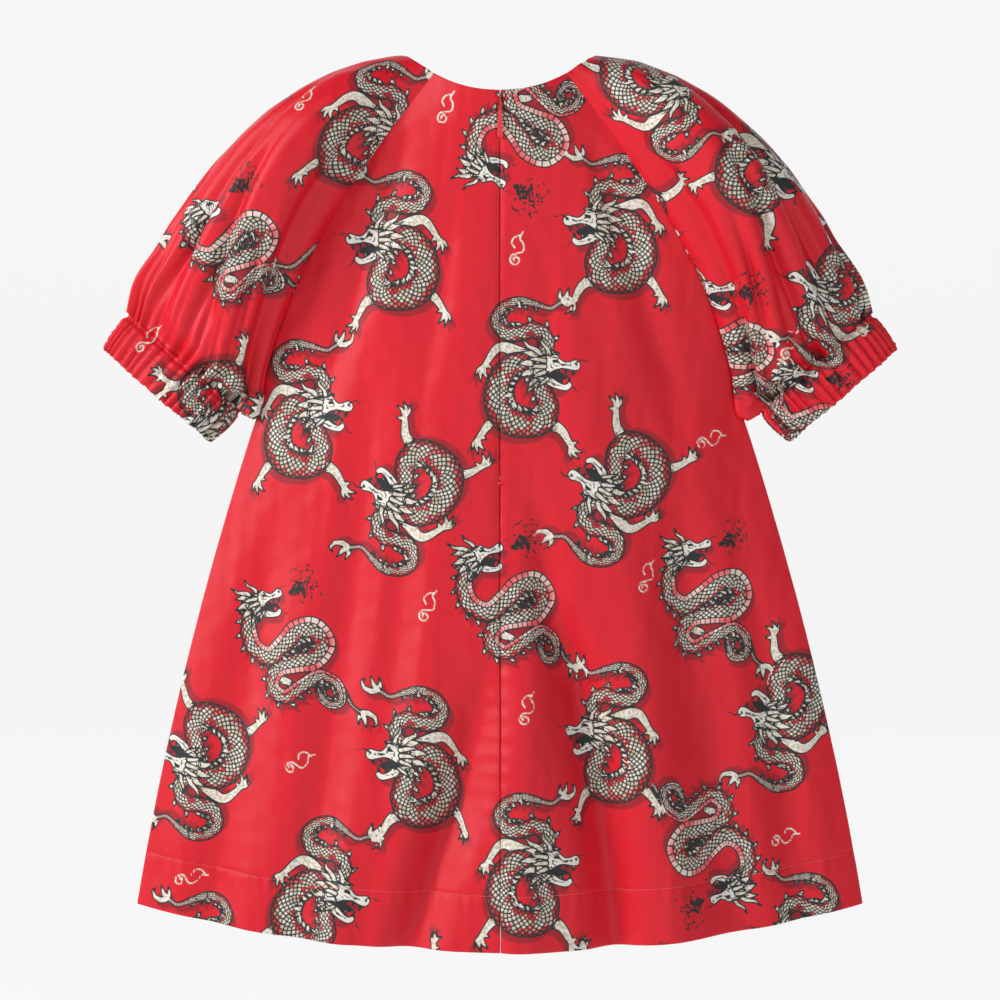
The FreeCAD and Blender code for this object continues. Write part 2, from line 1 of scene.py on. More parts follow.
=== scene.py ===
import bpy
import bmesh
import json
import math
import numpy as np
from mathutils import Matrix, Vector

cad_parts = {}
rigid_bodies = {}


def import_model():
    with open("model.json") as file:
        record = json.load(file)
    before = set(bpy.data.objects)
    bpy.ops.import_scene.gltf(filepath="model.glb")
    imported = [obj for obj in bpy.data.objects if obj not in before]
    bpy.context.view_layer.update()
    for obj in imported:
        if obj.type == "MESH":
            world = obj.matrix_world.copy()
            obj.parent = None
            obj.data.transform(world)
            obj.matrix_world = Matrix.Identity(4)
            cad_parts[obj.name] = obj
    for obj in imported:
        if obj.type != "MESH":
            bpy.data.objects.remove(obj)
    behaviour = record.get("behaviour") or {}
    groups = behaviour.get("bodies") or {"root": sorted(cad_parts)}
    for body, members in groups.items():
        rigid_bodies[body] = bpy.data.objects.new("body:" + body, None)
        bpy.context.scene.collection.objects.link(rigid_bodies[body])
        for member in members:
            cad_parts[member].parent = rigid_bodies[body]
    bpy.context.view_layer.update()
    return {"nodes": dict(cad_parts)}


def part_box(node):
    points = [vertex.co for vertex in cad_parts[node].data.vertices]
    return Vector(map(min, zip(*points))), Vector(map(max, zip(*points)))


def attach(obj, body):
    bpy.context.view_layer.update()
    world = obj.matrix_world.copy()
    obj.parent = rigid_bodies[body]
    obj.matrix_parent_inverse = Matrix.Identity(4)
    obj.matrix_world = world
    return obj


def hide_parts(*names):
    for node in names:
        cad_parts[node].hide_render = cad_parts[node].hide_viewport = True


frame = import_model()
metre = 0.001                       # all shapes below are worked out in millimetres
print("frame loaded")


def mix(a, b, t):
    return a + (b - a) * t


def smooth(t):
    t = np.clip(t, 0.0, 1.0)
    return t * t * (3 - 2 * t)


def bump(x, width):                 # a bell of height 1: exp(-(x / width)^2)
    return np.exp(-(x / width) ** 2)


def unit(vectors):
    return vectors / np.maximum(np.linalg.norm(vectors, axis=-1, keepdims=True), 1e-9)


def nodeBox(name):                  # a CAD node's corners in millimetres
    low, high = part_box(name)
    return np.array(low) / metre, np.array(high) / metre


def bezier(points, t):              # the Bezier curve of the control points, at every t at once
    layers = [(np.full_like(t, x), np.full_like(t, z)) for x, z in points]
    while len(layers) > 1:
        layers = [(mix(a[0], b[0], t), mix(a[1], b[1], t)) for a, b in zip(layers, layers[1:])]
    return layers[0]


def curveThrough(points, count, closed=False):
    # Catmull-Rom: each span is the cubic through two points with the chord of their neighbours as slope
    p = np.array(points, float)
    if closed:
        p = np.concatenate([p[-1:], p, p[:2]])
    else:
        p = np.concatenate([2 * p[:1] - p[1:2], p, 2 * p[-1:] - p[-2:-1]])
    spans = len(p) - 3
    t = np.linspace(0, spans, count, endpoint=not closed)
    k = np.minimum(t.astype(int), spans - 1)
    f = (t - k)[:, None]
    a, b, c, d = p[k], p[k + 1], p[k + 2], p[k + 3]
    square, cube = 2 * a - 5 * b + 4 * c - d, 3 * b - a - 3 * c + d
    return 0.5 * (2 * b + (c - a) * f + square * f ** 2 + cube * f ** 3)


def gridMesh(name, points, flat=None, closedRows=False):
    # a sheet of quads through a rows x columns array of points; flat holds the cut's own coordinates
    rows, columns = points.shape[:2]
    index = np.arange(rows * columns).reshape(rows, columns)
    if closedRows:
        index = np.concatenate([index, index[:, :1]], axis=1)
    corners = [index[:-1, :-1], index[1:, :-1], index[1:, 1:], index[:-1, 1:]]
    quads = np.stack(corners, axis=-1).reshape(-1, 4)
    mesh = bpy.data.meshes.new(name)
    mesh.vertices.add(rows * columns)
    mesh.vertices.foreach_set("co", (points * metre).astype(np.float32).ravel())
    mesh.loops.add(quads.size)
    mesh.loops.foreach_set("vertex_index", quads.astype(np.int32).ravel())
    mesh.polygons.add(len(quads))
    mesh.polygons.foreach_set("loop_start", (np.arange(len(quads)) * 4).astype(np.int32))
    mesh.update(calc_edges=True)
    mesh.shade_smooth()
    if flat is not None:
        cut = flat.reshape(-1, 2)
        low, size = cut.min(axis=0), (cut.max(axis=0) - cut.min(axis=0)).max()
        layer = mesh.uv_layers.new(name="OFBake")
        layer.data.foreach_set("uv", (((cut - low) / size)[quads.ravel()]).astype(np.float32).ravel())
    piece = bpy.data.objects.new(name, mesh)
    bpy.context.scene.collection.objects.link(piece)
    return piece


def giveVectors(piece, name, values):
    layer = piece.data.attributes.new(name, "FLOAT_VECTOR", "POINT")
    layer.data.foreach_set("vector", values.astype(np.float32).ravel())


# The dress's outline: the same curves as its CAD frame, in millimetres.
dress = {
    "length": 620.0, "hemHalf": 255.0, "hemRise": 25.0, "sideBulge": 14.0, "round": 2.2,
    "backDrop": 29.0, "frontDrop": 72.0, "neckHalf": 68.0, "neckDepth": 40.0, "hemDepth": 58.0,
    "backSeam": (46.0, -16.0), "frontSeam": (56.0, -40.0), "underarm": (170.0, -250.0),
    "straightDrop": 306.5, "edge": 0.55, "sleeveGap": 0.45,
    "raglanFirst": (0.5, 0.34), "raglanSecond": (0.15, 0.39),   # control points, as shares
}
cuff = {
    "top": (221.0, -214.0), "tilt": math.radians(41.0), "topHalf": 51.5, "half": 49.0, "length": 30.0,
    "depth": 17.0, "puff": 34.0, "seamShare": 0.92, "seamHalf": 0.8, "underarmEase": 1.5, "easePower": 4,
    "outerFirst": (0.43, 0.02), "outerSecond": (0.167, 0.51),
    "cutFullness": 0.25, "fullFrom": 0.75, "fullOver": 0.3,     # the flat sleeve widens towards the cuff
}
armShare = (-dress["underarm"][1] - dress["backDrop"]) / (dress["length"] - dress["backDrop"])


def raglan(t, back):                # the raglan seam: a cubic Bezier from the neck edge to the underarm
    x0, z0 = dress["backSeam"] if back else dress["frontSeam"]
    x1, z1 = dress["underarm"]
    w, h = x1 - x0, z0 - z1
    (a, b), (c, d) = dress["raglanFirst"], dress["raglanSecond"]
    return bezier([(x0, z0), (x0 + a * w, z0 - b * h), (x1 - c * w, z1 + d * h), (x1, z1)], t)


def sideSeam(t):                    # the side seam: a quadratic Bezier from the underarm to the hem
    x0, z0 = dress["underarm"]
    x1, z1 = dress["hemHalf"], dress["hemRise"] - dress["length"]
    return bezier([(x0, z0), ((x0 + x1) / 2 + dress["sideBulge"], (z0 + z1) / 2), (x1, z1)], t)


def bodyEdge(v, back):
    one = raglan(np.clip(v / armShare, 0, 1), back)
    two = sideSeam(np.clip((v - armShare) / (1 - armShare), 0, 1))
    return np.where(v <= armShare, one[0], two[0]), np.where(v <= armShare, one[1], two[1])


def seamDepth(t, back):             # how far the seam stands from the plane of the side seams
    x = (dress["backSeam"] if back else dress["frontSeam"])[0]
    top = dress["neckDepth"] * math.sqrt(1 - (x / dress["neckHalf"]) ** 2)
    return mix(top, dress["edge"], smooth(np.clip(t, 0, 1) ** 2))


def bodyDepth(z):
    t = (-z - dress["straightDrop"]) / (dress["length"] - dress["straightDrop"])
    return mix(dress["neckDepth"], dress["hemDepth"], smooth(t))


# Folds are valleys (depth over 0) or ridges (under 0). Each follows a path of (drop, x) points; its depth
# grows from nothing at the path's start, and one with a fade is flat again at that drop.
foldGrowth = {"share": 0.62, "fadeIn": 60.0, "fadeOut": 90.0, "narrow": 0.7, "widening": 0.5,
              "sideFree": 0.16}
backFolds = [
    {"path": [(262, 6), (320, 28), (380, 35), (425, 50), (515, 68), (580, 76), (625, 80)],
     "width": 13, "depth": 17.0},
    {"path": [(405, -4), (466, -16), (520, -30), (560, -44), (625, -64)], "width": 14, "depth": 16.5},
    {"path": [(320, 8), (420, 14), (520, 16), (625, 14)], "width": 19, "depth": -9.0},
    {"path": [(60, -20), (200, -28), (400, -46), (625, -118)], "width": 22, "depth": -4.0},
    {"path": [(190, -84), (380, -104), (500, -120), (625, -140)], "width": 15, "depth": 8.6},
    {"path": [(210, -48), (400, -72), (625, -96)], "width": 12, "depth": 5.0},
    {"path": [(255, -140), (400, -170), (625, -204)], "width": 16, "depth": 7.8},
    {"path": [(240, 112), (420, 136), (625, 165)], "width": 19, "depth": 10.0},
    {"path": [(270, 158), (420, 184), (625, 214)], "width": 14, "depth": 7.4},
    {"path": [(110, 30), (260, 62), (420, 98), (560, 116), (625, 124)], "width": 17, "depth": -4.6},
    {"path": [(45, 60), (120, 84), (230, 118), (300, 128)], "width": 10, "depth": 4.8, "fade": 300},
    {"path": [(45, -60), (120, -86), (230, -120), (300, -130)], "width": 10, "depth": 5.0, "fade": 300},
    {"path": [(120, 28), (200, 34), (290, 40)], "width": 8, "depth": 3.2, "fade": 290},
    {"path": [(90, -34), (170, -42), (270, -60)], "width": 9, "depth": 3.0, "fade": 270},
]
frontFolds = [
    {"path": [(300, -20), (450, -34), (625, -52)], "width": 17, "depth": 12.0},
    {"path": [(260, 40), (420, 58), (625, 80)], "width": 16, "depth": 11.0},
    {"path": [(320, 8), (460, 10), (625, 14)], "width": 22, "depth": -6.5},
    {"path": [(240, -92), (420, -118), (625, -150)], "width": 17, "depth": 7.5},
    {"path": [(250, 124), (430, 150), (625, 182)], "width": 17, "depth": 7.5},
    {"path": [(260, -156), (440, -186), (625, -214)], "width": 18, "depth": 3.2},
    {"path": [(270, 170), (430, 200), (625, 222)], "width": 16, "depth": 2.6},
]


def foldDepth(x, z, folds):         # the sum of all the folds' bells across x, each grown in along its drop
    total = np.zeros_like(x)
    drop = -z
    for fold in folds:
        drops, places = zip(*fold["path"])
        middle = np.interp(drop, drops, places)
        grown = smooth((drop - drops[0]) / (foldGrowth["share"] * (drops[-1] - drops[0])))
        if "fade" in fold:
            grown = smooth((drop - drops[0]) / foldGrowth["fadeIn"])
            grown = grown * smooth((fold["fade"] - drop) / foldGrowth["fadeOut"])
        width = fold["width"] * (foldGrowth["narrow"] + foldGrowth["widening"] * grown)
        total += fold["depth"] * grown * bump(x - middle, width)
    return total


def bodySurface(u, v, back, inset=0.0):
    # u runs across from -1 to 1 and v down from the neck edge to the hem, both as shares; the y of the
    # cloth falls off from the centre to the side seam with the power "round" of |u|
    edgeX, edgeZ = bodyEdge(v, back)
    top = dress["backDrop"] if back else dress["frontDrop"]
    centreZ = -mix(top, dress["length"], v)
    share = np.abs(u) ** dress["round"]
    x = u * edgeX
    z = mix(centreZ, edgeZ, share)
    y = mix(bodyDepth(centreZ), seamDepth(v / armShare, back), share)
    folds = foldDepth(x, z, backFolds if back else frontFolds)
    y = y - folds * smooth((1 - np.abs(u)) / foldGrowth["sideFree"]) - inset
    return np.stack([x, (-y if back else y), z], axis=-1)


print("outline ready")


# The print: two dragons and a cloud curl, each drawn once as distance fields on a small raster, in
# millimetres. "edge" is signed, so a line drawn where it passes 0 stays crisp on a coarser mesh.
stamp = {"step": 0.42, "half": 64.0, "shadowShift": (3.0, -4.2), "seed": 11}
tooth = {                           # the spikes down a dragon's back; thinner stretches than "from" have none
    "pitch": 6.6, "from": 2.0, "sunk": 0.8, "tall": 2.4, "growth": 0.42, "lean": 0.55, "bow": 0.3,
    "widths": [2.1, 1.45, 0.35],
}
limb = {                            # toes are (spread in radians, length)
    "toes": [(0.62, 9.0), (0.1, 10.5), (-0.42, 9.5), (-1.9, 5.5)], "toeWidths": [1.6, 1.35, 0.45],
    "toeBend": 0.55, "firstShare": 0.55, "lastShare": 0.5, "points": 17, "dots": 7,
}
stampAxis = np.arange(-stamp["half"], stamp["half"] + stamp["step"], stamp["step"])
stampX, stampY = np.meshgrid(stampAxis, stampAxis)
far = 20.0
fieldNames = ["edge", "marks", "figure", "cream", "scales", "belly", "along", "across"]


def newStamp():
    fields = {name: np.full(stampX.shape, far) for name in fieldNames}
    fields["along"][:] = 0.0
    fields["across"][:] = 0.0
    return fields


def near(points, margin):           # the window of the raster round some points
    low = points.min(axis=0) - margin
    high = points.max(axis=0) + margin
    i = np.searchsorted(stampAxis, [low[1], high[1]])
    j = np.searchsorted(stampAxis, [low[0], high[0]])
    return slice(i[0], i[1]), slice(j[0], j[1])


def takeOver(old, shape, painted=True):
    # the nearest edge that shows: the new shape's own, inside it and wherever it is the closer one
    takes = painted & ((shape < 0) | (np.abs(shape) < np.abs(old)))
    return np.where(takes, shape, old)


def lay(fields, window, shape, tone):
    # paints a shape, given by its signed distance, over what is there
    fields["edge"][window] = takeOver(fields["edge"][window], shape)
    fields["marks"][window] = np.maximum(fields["marks"][window], -shape)
    fields["figure"][window] = np.minimum(fields["figure"][window], shape)
    for name in ("cream", "scales", "belly"):
        old = fields[name][window]
        fields[name][window] = np.minimum(old, shape) if name == tone else np.maximum(old, -shape)


def strokes(window, path, widths):  # distance to a line of tapered capsules
    x, y = stampX[window], stampY[window]
    path, widths = np.array(path, float), np.broadcast_to(widths, len(path)).astype(float)
    best = np.full(x.shape, far)
    for a, b, wa, wb in zip(path[:-1], path[1:], widths[:-1], widths[1:]):
        d = b - a
        t = np.clip(((x - a[0]) * d[0] + (y - a[1]) * d[1]) / max(d @ d, 1e-9), 0, 1)
        best = np.minimum(best, np.hypot(x - a[0] - t * d[0], y - a[1] - t * d[1]) - mix(wa, wb, t))
    return best


def polygon(window, outline):       # signed distance to a closed outline, negative inside
    x, y = stampX[window], stampY[window]
    best, inside = np.full(x.shape, far), np.zeros(x.shape, bool)
    for a, b in zip(outline, np.roll(outline, -1, axis=0)):
        d = b - a
        t = np.clip(((x - a[0]) * d[0] + (y - a[1]) * d[1]) / max(d @ d, 1e-9), 0, 1)
        best = np.minimum(best, np.hypot(x - a[0] - t * d[0], y - a[1] - t * d[1]))
        crosses = (a[1] > y) != (b[1] > y)
        inside ^= crosses & (x < (b[0] - a[0]) * (y - a[1]) / (d[1] if d[1] else 1e-9) + a[0])
    return np.where(inside, -best, best)


def placed(points, at, turn, size=1.0, mirrored=False):
    p = np.array(points, float) * size
    if mirrored:
        p = p * [1, -1]
    c, s = math.cos(turn), math.sin(turn)
    return p @ np.array([[c, s], [-s, c]]) + at


def layStrokes(fields, paths, tone):
    # one shape made of several tapered strokes, laid with a single outline
    everything = np.concatenate([np.array(p, float) for p, w in paths])
    window = near(everything, 9)
    shape = np.full(stampX[window].shape, far)
    for path, widths in paths:
        shape = np.minimum(shape, strokes(window, path, widths))
    lay(fields, window, shape, tone)


def inkStrokes(fields, paths):
    everything = np.concatenate([np.array(p, float) for p, w in paths])
    window = near(everything, 4)
    for path, widths in paths:
        fields["marks"][window] = np.minimum(fields["marks"][window], strokes(window, path, widths))


def layBody(fields, path, widths, backSide, bellyShare=0.0, lengths=26):
    # the body as short lengths of ribbon from the tail to the head, so that nearer coils cover farther ones
    spine = curveThrough(path, 12 * (len(path) - 1) + 1)
    arc = np.concatenate([[0], np.cumsum(np.linalg.norm(np.diff(spine, axis=0), axis=1))])
    tangent = unit(np.gradient(spine, axis=0))
    normal = np.stack([-tangent[:, 1], tangent[:, 0]], axis=1) * backSide
    half = np.interp(arc / arc[-1], *zip(*widths))
    pitch = tooth["pitch"]
    cuts = np.linspace(0, len(spine) - 1, lengths + 1).astype(int)
    for i0, i1 in zip(cuts[:-1], cuts[1:]):
        run = np.arange(i0, i1 + 1)
        teeth = []
        steps = np.arange(math.ceil(arc[i0] / pitch) * pitch, arc[i1], pitch)
        for s in steps:
            k = int(np.argmin(np.abs(arc - s)))
            if half[k] < tooth["from"]:
                continue
            foot = spine[k] + normal[k] * (half[k] - tooth["sunk"])
            tall = tooth["tall"] + tooth["growth"] * half[k]
            tip = foot + normal[k] * tall - tangent[k] * tooth["lean"] * tall
            middle = mix(foot, tip, 0.5) + tangent[k] * tooth["bow"]
            teeth.append((np.array([foot, middle, tip]), tooth["widths"]))
        if teeth:
            layStrokes(fields, teeth, "cream")
        window = near(spine[run], half[run].max() + 3)
        x, y = stampX[window], stampY[window]
        dx, dy = x[..., None] - spine[run, 0], y[..., None] - spine[run, 1]
        nearest = np.argmin(dx ** 2 + dy ** 2, axis=-1)
        px = np.take_along_axis(dx, nearest[..., None], -1)[..., 0]
        py = np.take_along_axis(dy, nearest[..., None], -1)[..., 0]
        k = run[nearest]
        forward = px * tangent[k, 0] + py * tangent[k, 1]
        sideways = px * normal[k, 0] + py * normal[k, 1]
        # each length stops flat at its ends, so that no line crosses the body there
        within = ~((nearest == 0) & (forward < -0.45)) & ~((nearest == len(run) - 1) & (forward > 0.45))
        shape = np.abs(sideways) - half[k]
        inside = np.where(within, shape, far)
        fields["edge"][window] = takeOver(fields["edge"][window], shape, within)
        fields["marks"][window] = np.maximum(fields["marks"][window], -inside)
        fields["figure"][window] = np.minimum(fields["figure"][window], inside)
        fields["cream"][window] = np.maximum(fields["cream"][window], -inside)
        fields["scales"][window] = np.minimum(fields["scales"][window], inside)
        fields["belly"][window] = np.maximum(fields["belly"][window], -inside)
        if bellyShare > 0:
            belly = np.maximum(inside, sideways + (1 - 2 * bellyShare) * half[k])
            fields["belly"][window] = np.minimum(fields["belly"][window], belly)
        painted = within & (shape < 1.6)
        fields["along"][window] = np.where(painted, arc[k] + forward, fields["along"][window])
        fields["across"][window] = np.where(painted, sideways / half[k], fields["across"][window])
    return spine, tangent


def layLeg(fields, path, widths, reach=1.0, lean=0.0):
    # a limb of tapered strokes, ending in three long toes and a short one behind
    path = np.array(path, float)
    heading = math.atan2(*(path[-1] - path[-2])[::-1]) + lean
    toes = []
    for spread, length in limb["toes"]:
        a = heading + spread
        bend = a - limb["toeBend"] * (1 if spread > -1 else -1)
        first = path[-1] + limb["firstShare"] * length * reach * np.array([math.cos(a), math.sin(a)])
        last = first + limb["lastShare"] * length * reach * np.array([math.cos(bend), math.sin(bend)])
        toes.append(([path[-1], first, last], limb["toeWidths"]))
    count = limb["points"]
    bent = curveThrough(path, count)
    widths = np.interp(np.linspace(0, 1, count), np.linspace(0, 1, len(widths)), widths)
    layStrokes(fields, [(bent, widths)] + toes, "cream")
    draw = np.random.default_rng(int(abs(path[0, 0]) * 10))
    for share in np.linspace(0.3, 0.85, limb["dots"]):
        spot = bent[int(share * (count - 1))] + draw.uniform(-1.1, 1.1, 2)
        inkStrokes(fields, [([spot, spot + [0.4, 0.3]], [0.42, 0.3])])


def layHead(fields, at, turn, size=1.0, mirrored=False):
    # a long-snouted head that faces +X before it is turned, with its mouth open
    def put(points):
        return placed(points, at, turn, size, mirrored)

    def each(paths):
        return [(put(path), np.array(widths) * size) for path, widths in paths]

    mane = [([(0, 4), (-7, 8), (-14, 8)], [3.0, 2.1, 0.4]),
            ([(-2, 0), (-9, 1), (-16, -1)], [3.0, 2.2, 0.4]),
            ([(-1, -4), (-8, -6), (-13, -10)], [3.0, 2.0, 0.4]),
            ([(2, -7), (-3, -12), (-6, -17)], [2.6, 1.7, 0.4])]
    horns = [([(3, 6), (-3, 11), (-10, 13), (-15, 18)], [2.1, 1.8, 1.3, 0.4]),
             ([(7, 8), (5, 13), (0, 17), (-1, 22)], [1.9, 1.5, 1.1, 0.4])]
    for group in (mane, horns):
        for stroke in each(group):
            layStrokes(fields, [stroke], "cream")
    jaw = curveThrough([(0, -5), (6, -5.5), (12, -7.5), (17, -9.8), (21, -10.4), (24.2, -8.2), (26, -10.6),
                        (23, -14.6), (15, -14.4), (7, -12), (0, -9.6)], 66, closed=True)
    skull = curveThrough([(-3, -6), (-3.5, 1), (-1.5, 6), (3, 8.2), (8, 8.4), (11.5, 10.2), (14.4, 7.8),
                          (18.5, 5.6), (22.5, 6.6), (26.6, 8.2), (30, 5.6), (29.4, 1.4), (24.6, 0.4),
                          (18, 0.8),
                          (12.5, -1.0), (8, -4.6), (3, -7.5)], 102, closed=True)
    inkStrokes(fields, each([([(5, -5), (13, -4.8), (19, -5.2)], [2.4, 3.0, 2.4])]))
    tongue = [([(7, -6.4), (13, -6.2), (18, -6.6), (21.5, -4.6)], [1.3, 1.4, 1.2, 0.5])]
    layStrokes(fields, each(tongue), "belly")
    fangs = [([(26, 2), (25.6, -3.2)], [1.3, 0.3]), ([(20.5, 2), (20, -2.2)], [1.2, 0.3]),
             ([(15.5, 1), (15, -2.4)], [1.0, 0.3]), ([(23.4, -10), (23.6, -5.4)], [1.2, 0.3]),
             ([(17.5, -9), (17.8, -5.8)], [1.1, 0.3])]
    for stroke in each(fangs):
        layStrokes(fields, [stroke], "none")
    for outline in (jaw, skull):
        outline = put(outline)
        window = near(outline, 3)
        lay(fields, window, polygon(window, outline), "none")
    cheeks = [([(4, 4.4), (-3, 4.6), (-9, 4)], [1.7, 1.5, 0.3]),
              ([(4.6, 0.4), (-2, -0.6), (-8, -3)], [1.7, 1.5, 0.3]),
              ([(5, -3.6), (0, -6.2), (-4, -10.4)], [1.6, 1.4, 0.3]),
              ([(8, -8), (4, -12), (1, -16)], [1.4, 1.2, 0.3])]
    for stroke in each(cheeks):
        layStrokes(fields, [stroke], "cream")
    inkStrokes(fields, each([
        ([(10.4, 5.0), (12.6, 5.5), (14.8, 4.2)], [1.0, 1.1, 0.4]),
        ([(7.4, 7.0), (11, 8.2), (14, 7.2)], [0.35, 0.5, 0.35]),
        ([(26.4, 5.2), (28, 4.6)], [0.8, 0.55]), ([(15.6, 3.4), (20, 4.0), (24, 3.2)], [0.35, 0.4, 0.3]),
        ([(17, 2.4), (21, 2.6)], [0.25, 0.3]), ([(8.4, 3.2), (9.2, 0.4), (12, -0.4)], [0.3, 0.4, 0.3]),
        ([(10.5, 2.6), (13, 1.8), (15, 2.4)], [0.3, 0.35, 0.3]), ([(22, 6.2), (23.4, 4.4)], [0.35, 0.3]),
        ([(8, -9.6), (15, -11.6), (21, -12)], [0.3, 0.4, 0.3]), ([(11, -10.8), (14, -12.8)], [0.3, 0.3]),
        ([(27, 6.5), (31, 9), (35, 8), (38, 10)], [0.6, 0.5, 0.4, 0.3]),
        ([(27, -11), (29, -14), (33, -15)], [0.5, 0.45, 0.3])]))


def layTuft(fields, at, turn):
    # a curled tuft at the tail's end
    lobes = [([(0, 0), (4, 4), (9, 5.4), (13, 3), (12.4, -0.6)], [2.0, 2.1, 1.6, 1.0, 0.4]),
             ([(0, 0), (5, -1), (10, -4.4)], [2.0, 1.8, 0.4]),
             ([(0, 0), (1.5, -4), (5, -7.6)], [1.8, 1.5, 0.4])]
    layStrokes(fields, [(placed(p, at, turn), w) for p, w in lobes], "cream")


def laySmoke(fields, at, turn, size, seed):
    # specks of ink, thick where the breath starts and thinner away from it
    draw = np.random.default_rng(seed)
    for i in range(150):
        reach = draw.random() ** 0.7
        angle = turn + draw.normal(0, 0.42)
        spot = np.array(at) + size * reach * np.array([math.cos(angle), math.sin(angle)])
        length = draw.uniform(0.3, 1.5) * (1.25 - reach)
        tilt = draw.uniform(0, math.pi)
        end = spot + length * np.array([math.cos(tilt), math.sin(tilt)])
        width = draw.uniform(0.5, 1.0) * (1.15 - 0.5 * reach)
        inkStrokes(fields, [([spot, end], [width, 0.35])])


def finished(fields):               # adds the printed shadow: the figure's own distance, moved aside
    moved = [int(round(d / stamp["step"])) for d in stamp["shadowShift"]]
    fields["shadow"] = np.roll(fields["figure"], (moved[1], moved[0]), axis=(0, 1))
    return fields


def coiledDragon():                 # its body makes a bend, with the tail over it and the head at its left
    fields = newStamp()
    spine = [(-27, 51), (-19, 47), (-8, 50), (4, 52), (15, 47), (19, 38), (13, 30), (2, 29), (-7, 32),
             (-15, 27), (-15, 17), (-5, 11), (8, 8), (17, -3), (19, -17), (13, -29), (0, -34), (-13, -32),
             (-18, -21),
             (-13, -9), (-9, 2)]
    layTuft(fields, np.array([-27, 51.0]), math.radians(140))
    layLeg(fields, [(8, -27), (22, -32), (31, -43)], [6.4, 3.4, 2.0], lean=-0.5)
    layLeg(fields, [(-8, -30), (-25, -36), (-33, -48)], [6.6, 3.4, 2.1], lean=0.2)
    layLeg(fields, [(-2, 14), (16, 20), (27, 7)], [5.0, 3.4, 1.9], lean=-0.3)
    widths = [(0, 1.3), (0.12, 2.6), (0.3, 5.0), (0.5, 6.6), (0.75, 9.2), (0.93, 6.6), (1, 5.6)]
    layBody(fields, spine, widths, -1)
    layHead(fields, np.array([-11, 7.0]), math.radians(188), size=0.96, mirrored=True)
    return finished(fields)


def windingDragon():                # an S-shaped body with a curl before the tail, breathing a puff of smoke
    fields = newStamp()
    spine = [(49, -46), (42, -41), (36, -31), (27, -26), (18, -31), (24, -41), (34, -39), (32, -27),
             (20, -21), (7, -28), (-6, -36), (-16, -29), (-11, -17), (3, -13), (17, -10), (24, 1),
             (16, 12), (3, 10),
             (-7, 0), (-18, -8), (-30, -3), (-35, 10), (-31, 22)]
    layTuft(fields, np.array([49, -46.0]), math.radians(-50))
    laySmoke(fields, (-2, 35), math.radians(28), 26, stamp["seed"])
    layLeg(fields, [(10, 8), (1, 1), (6, -6)], [3.6, 2.4, 1.5], reach=0.55)
    layLeg(fields, [(-9, -24), (-1, -27), (-5, -34)], [3.2, 2.0, 1.4], reach=0.5)
    widths = [(0, 1.2), (0.14, 2.3), (0.3, 3.6), (0.46, 5.4), (0.66, 7.4), (0.88, 6.4), (1, 5.2)]
    layBody(fields, spine, widths, 1, bellyShare=0.30, lengths=30)
    layHead(fields, np.array([-31, 27.0]), math.radians(14), size=0.82)
    return finished(fields)


def cloudCurl():                    # a plain curl of cloud in one stroke
    fields = newStamp()
    t = np.linspace(0, 1, 26)
    radius = 4.5 * (1 - 0.75 * t)
    curl = np.stack([radius * np.cos(8.5 * t) - 6, radius * np.sin(8.5 * t)], axis=1)
    tail = curveThrough([(-1.5, 0), (1, -4), (6, -3), (9, 0), (14, -1)], 16)
    top = curveThrough([(2, 2), (5, 5), (9, 4), (11, 1)], 12)
    window = near(np.array([[-14, -10], [18, 10]]), 2)
    for path in (curl, tail, top):
        fields["cream"][window] = np.minimum(fields["cream"][window], strokes(window, path, 0.62))
    return finished(fields)


stamps = {"coiled": coiledDragon(), "winding": windingDragon(), "cloud": cloudCurl()}
print("print drawn")


def sampled(field, x, y):           # bilinear reading of a stamp field at millimetre places
    fx, fy = (x + stamp["half"]) / stamp["step"], (y + stamp["half"]) / stamp["step"]
    i = np.clip(fy.astype(int), 0, field.shape[0] - 2)
    j = np.clip(fx.astype(int), 0, field.shape[1] - 2)
    a, b = fy - i, fx - j
    return ((field[i, j] * (1 - b) + field[i, j + 1] * b) * (1 - a)
            + (field[i + 1, j] * (1 - b) + field[i + 1, j + 1] * b) * a)


def printOn(piece, cut, places):
    # gives every point the fields of the nearest motif, as three vector attributes
    cut = cut.reshape(-1, 2)
    names = fieldNames + ["shadow"]
    values = {name: np.full(len(cut), far if name not in ("along", "across") else 0.0) for name in names}
    lead = np.full(len(cut), far)
    for kind, x, y, turn, *rest in places:
        local = placed(cut - [x, y], (0, 0), -math.radians(turn))
        if rest:                     # a fifth value makes the motif its mirror image
            local = local * [-1, 1]
        reach = stamp["half"] - 1
        rows = np.flatnonzero(np.abs(local).max(axis=1) < reach)
        if not len(rows):
            continue
        read = {name: sampled(stamps[kind][name], *local[rows].T) for name in names}
        closest = np.minimum.reduce([read[name] for name in ("marks", "figure", "shadow", "cream")])
        wins = closest < lead[rows]
        rows = rows[wins]
        lead[rows] = closest[wins]
        for name in names:
            values[name][rows] = read[name][wins]
    zero = np.zeros(len(cut))
    edge = values["edge"]
    giveVectors(piece, "printLines", np.stack([edge, np.abs(edge), values["marks"]], axis=1))
    giveVectors(piece, "printFills", np.stack([values["figure"], values["shadow"], values["cream"]], axis=1))
    giveVectors(piece, "printTones", np.stack([values["scales"], values["belly"], zero], axis=1))
    giveVectors(piece, "printScales", np.stack([values["along"], values["across"], zero], axis=1))


turnSpacing = 2.6                   # between the rows of the cloth that is turned under


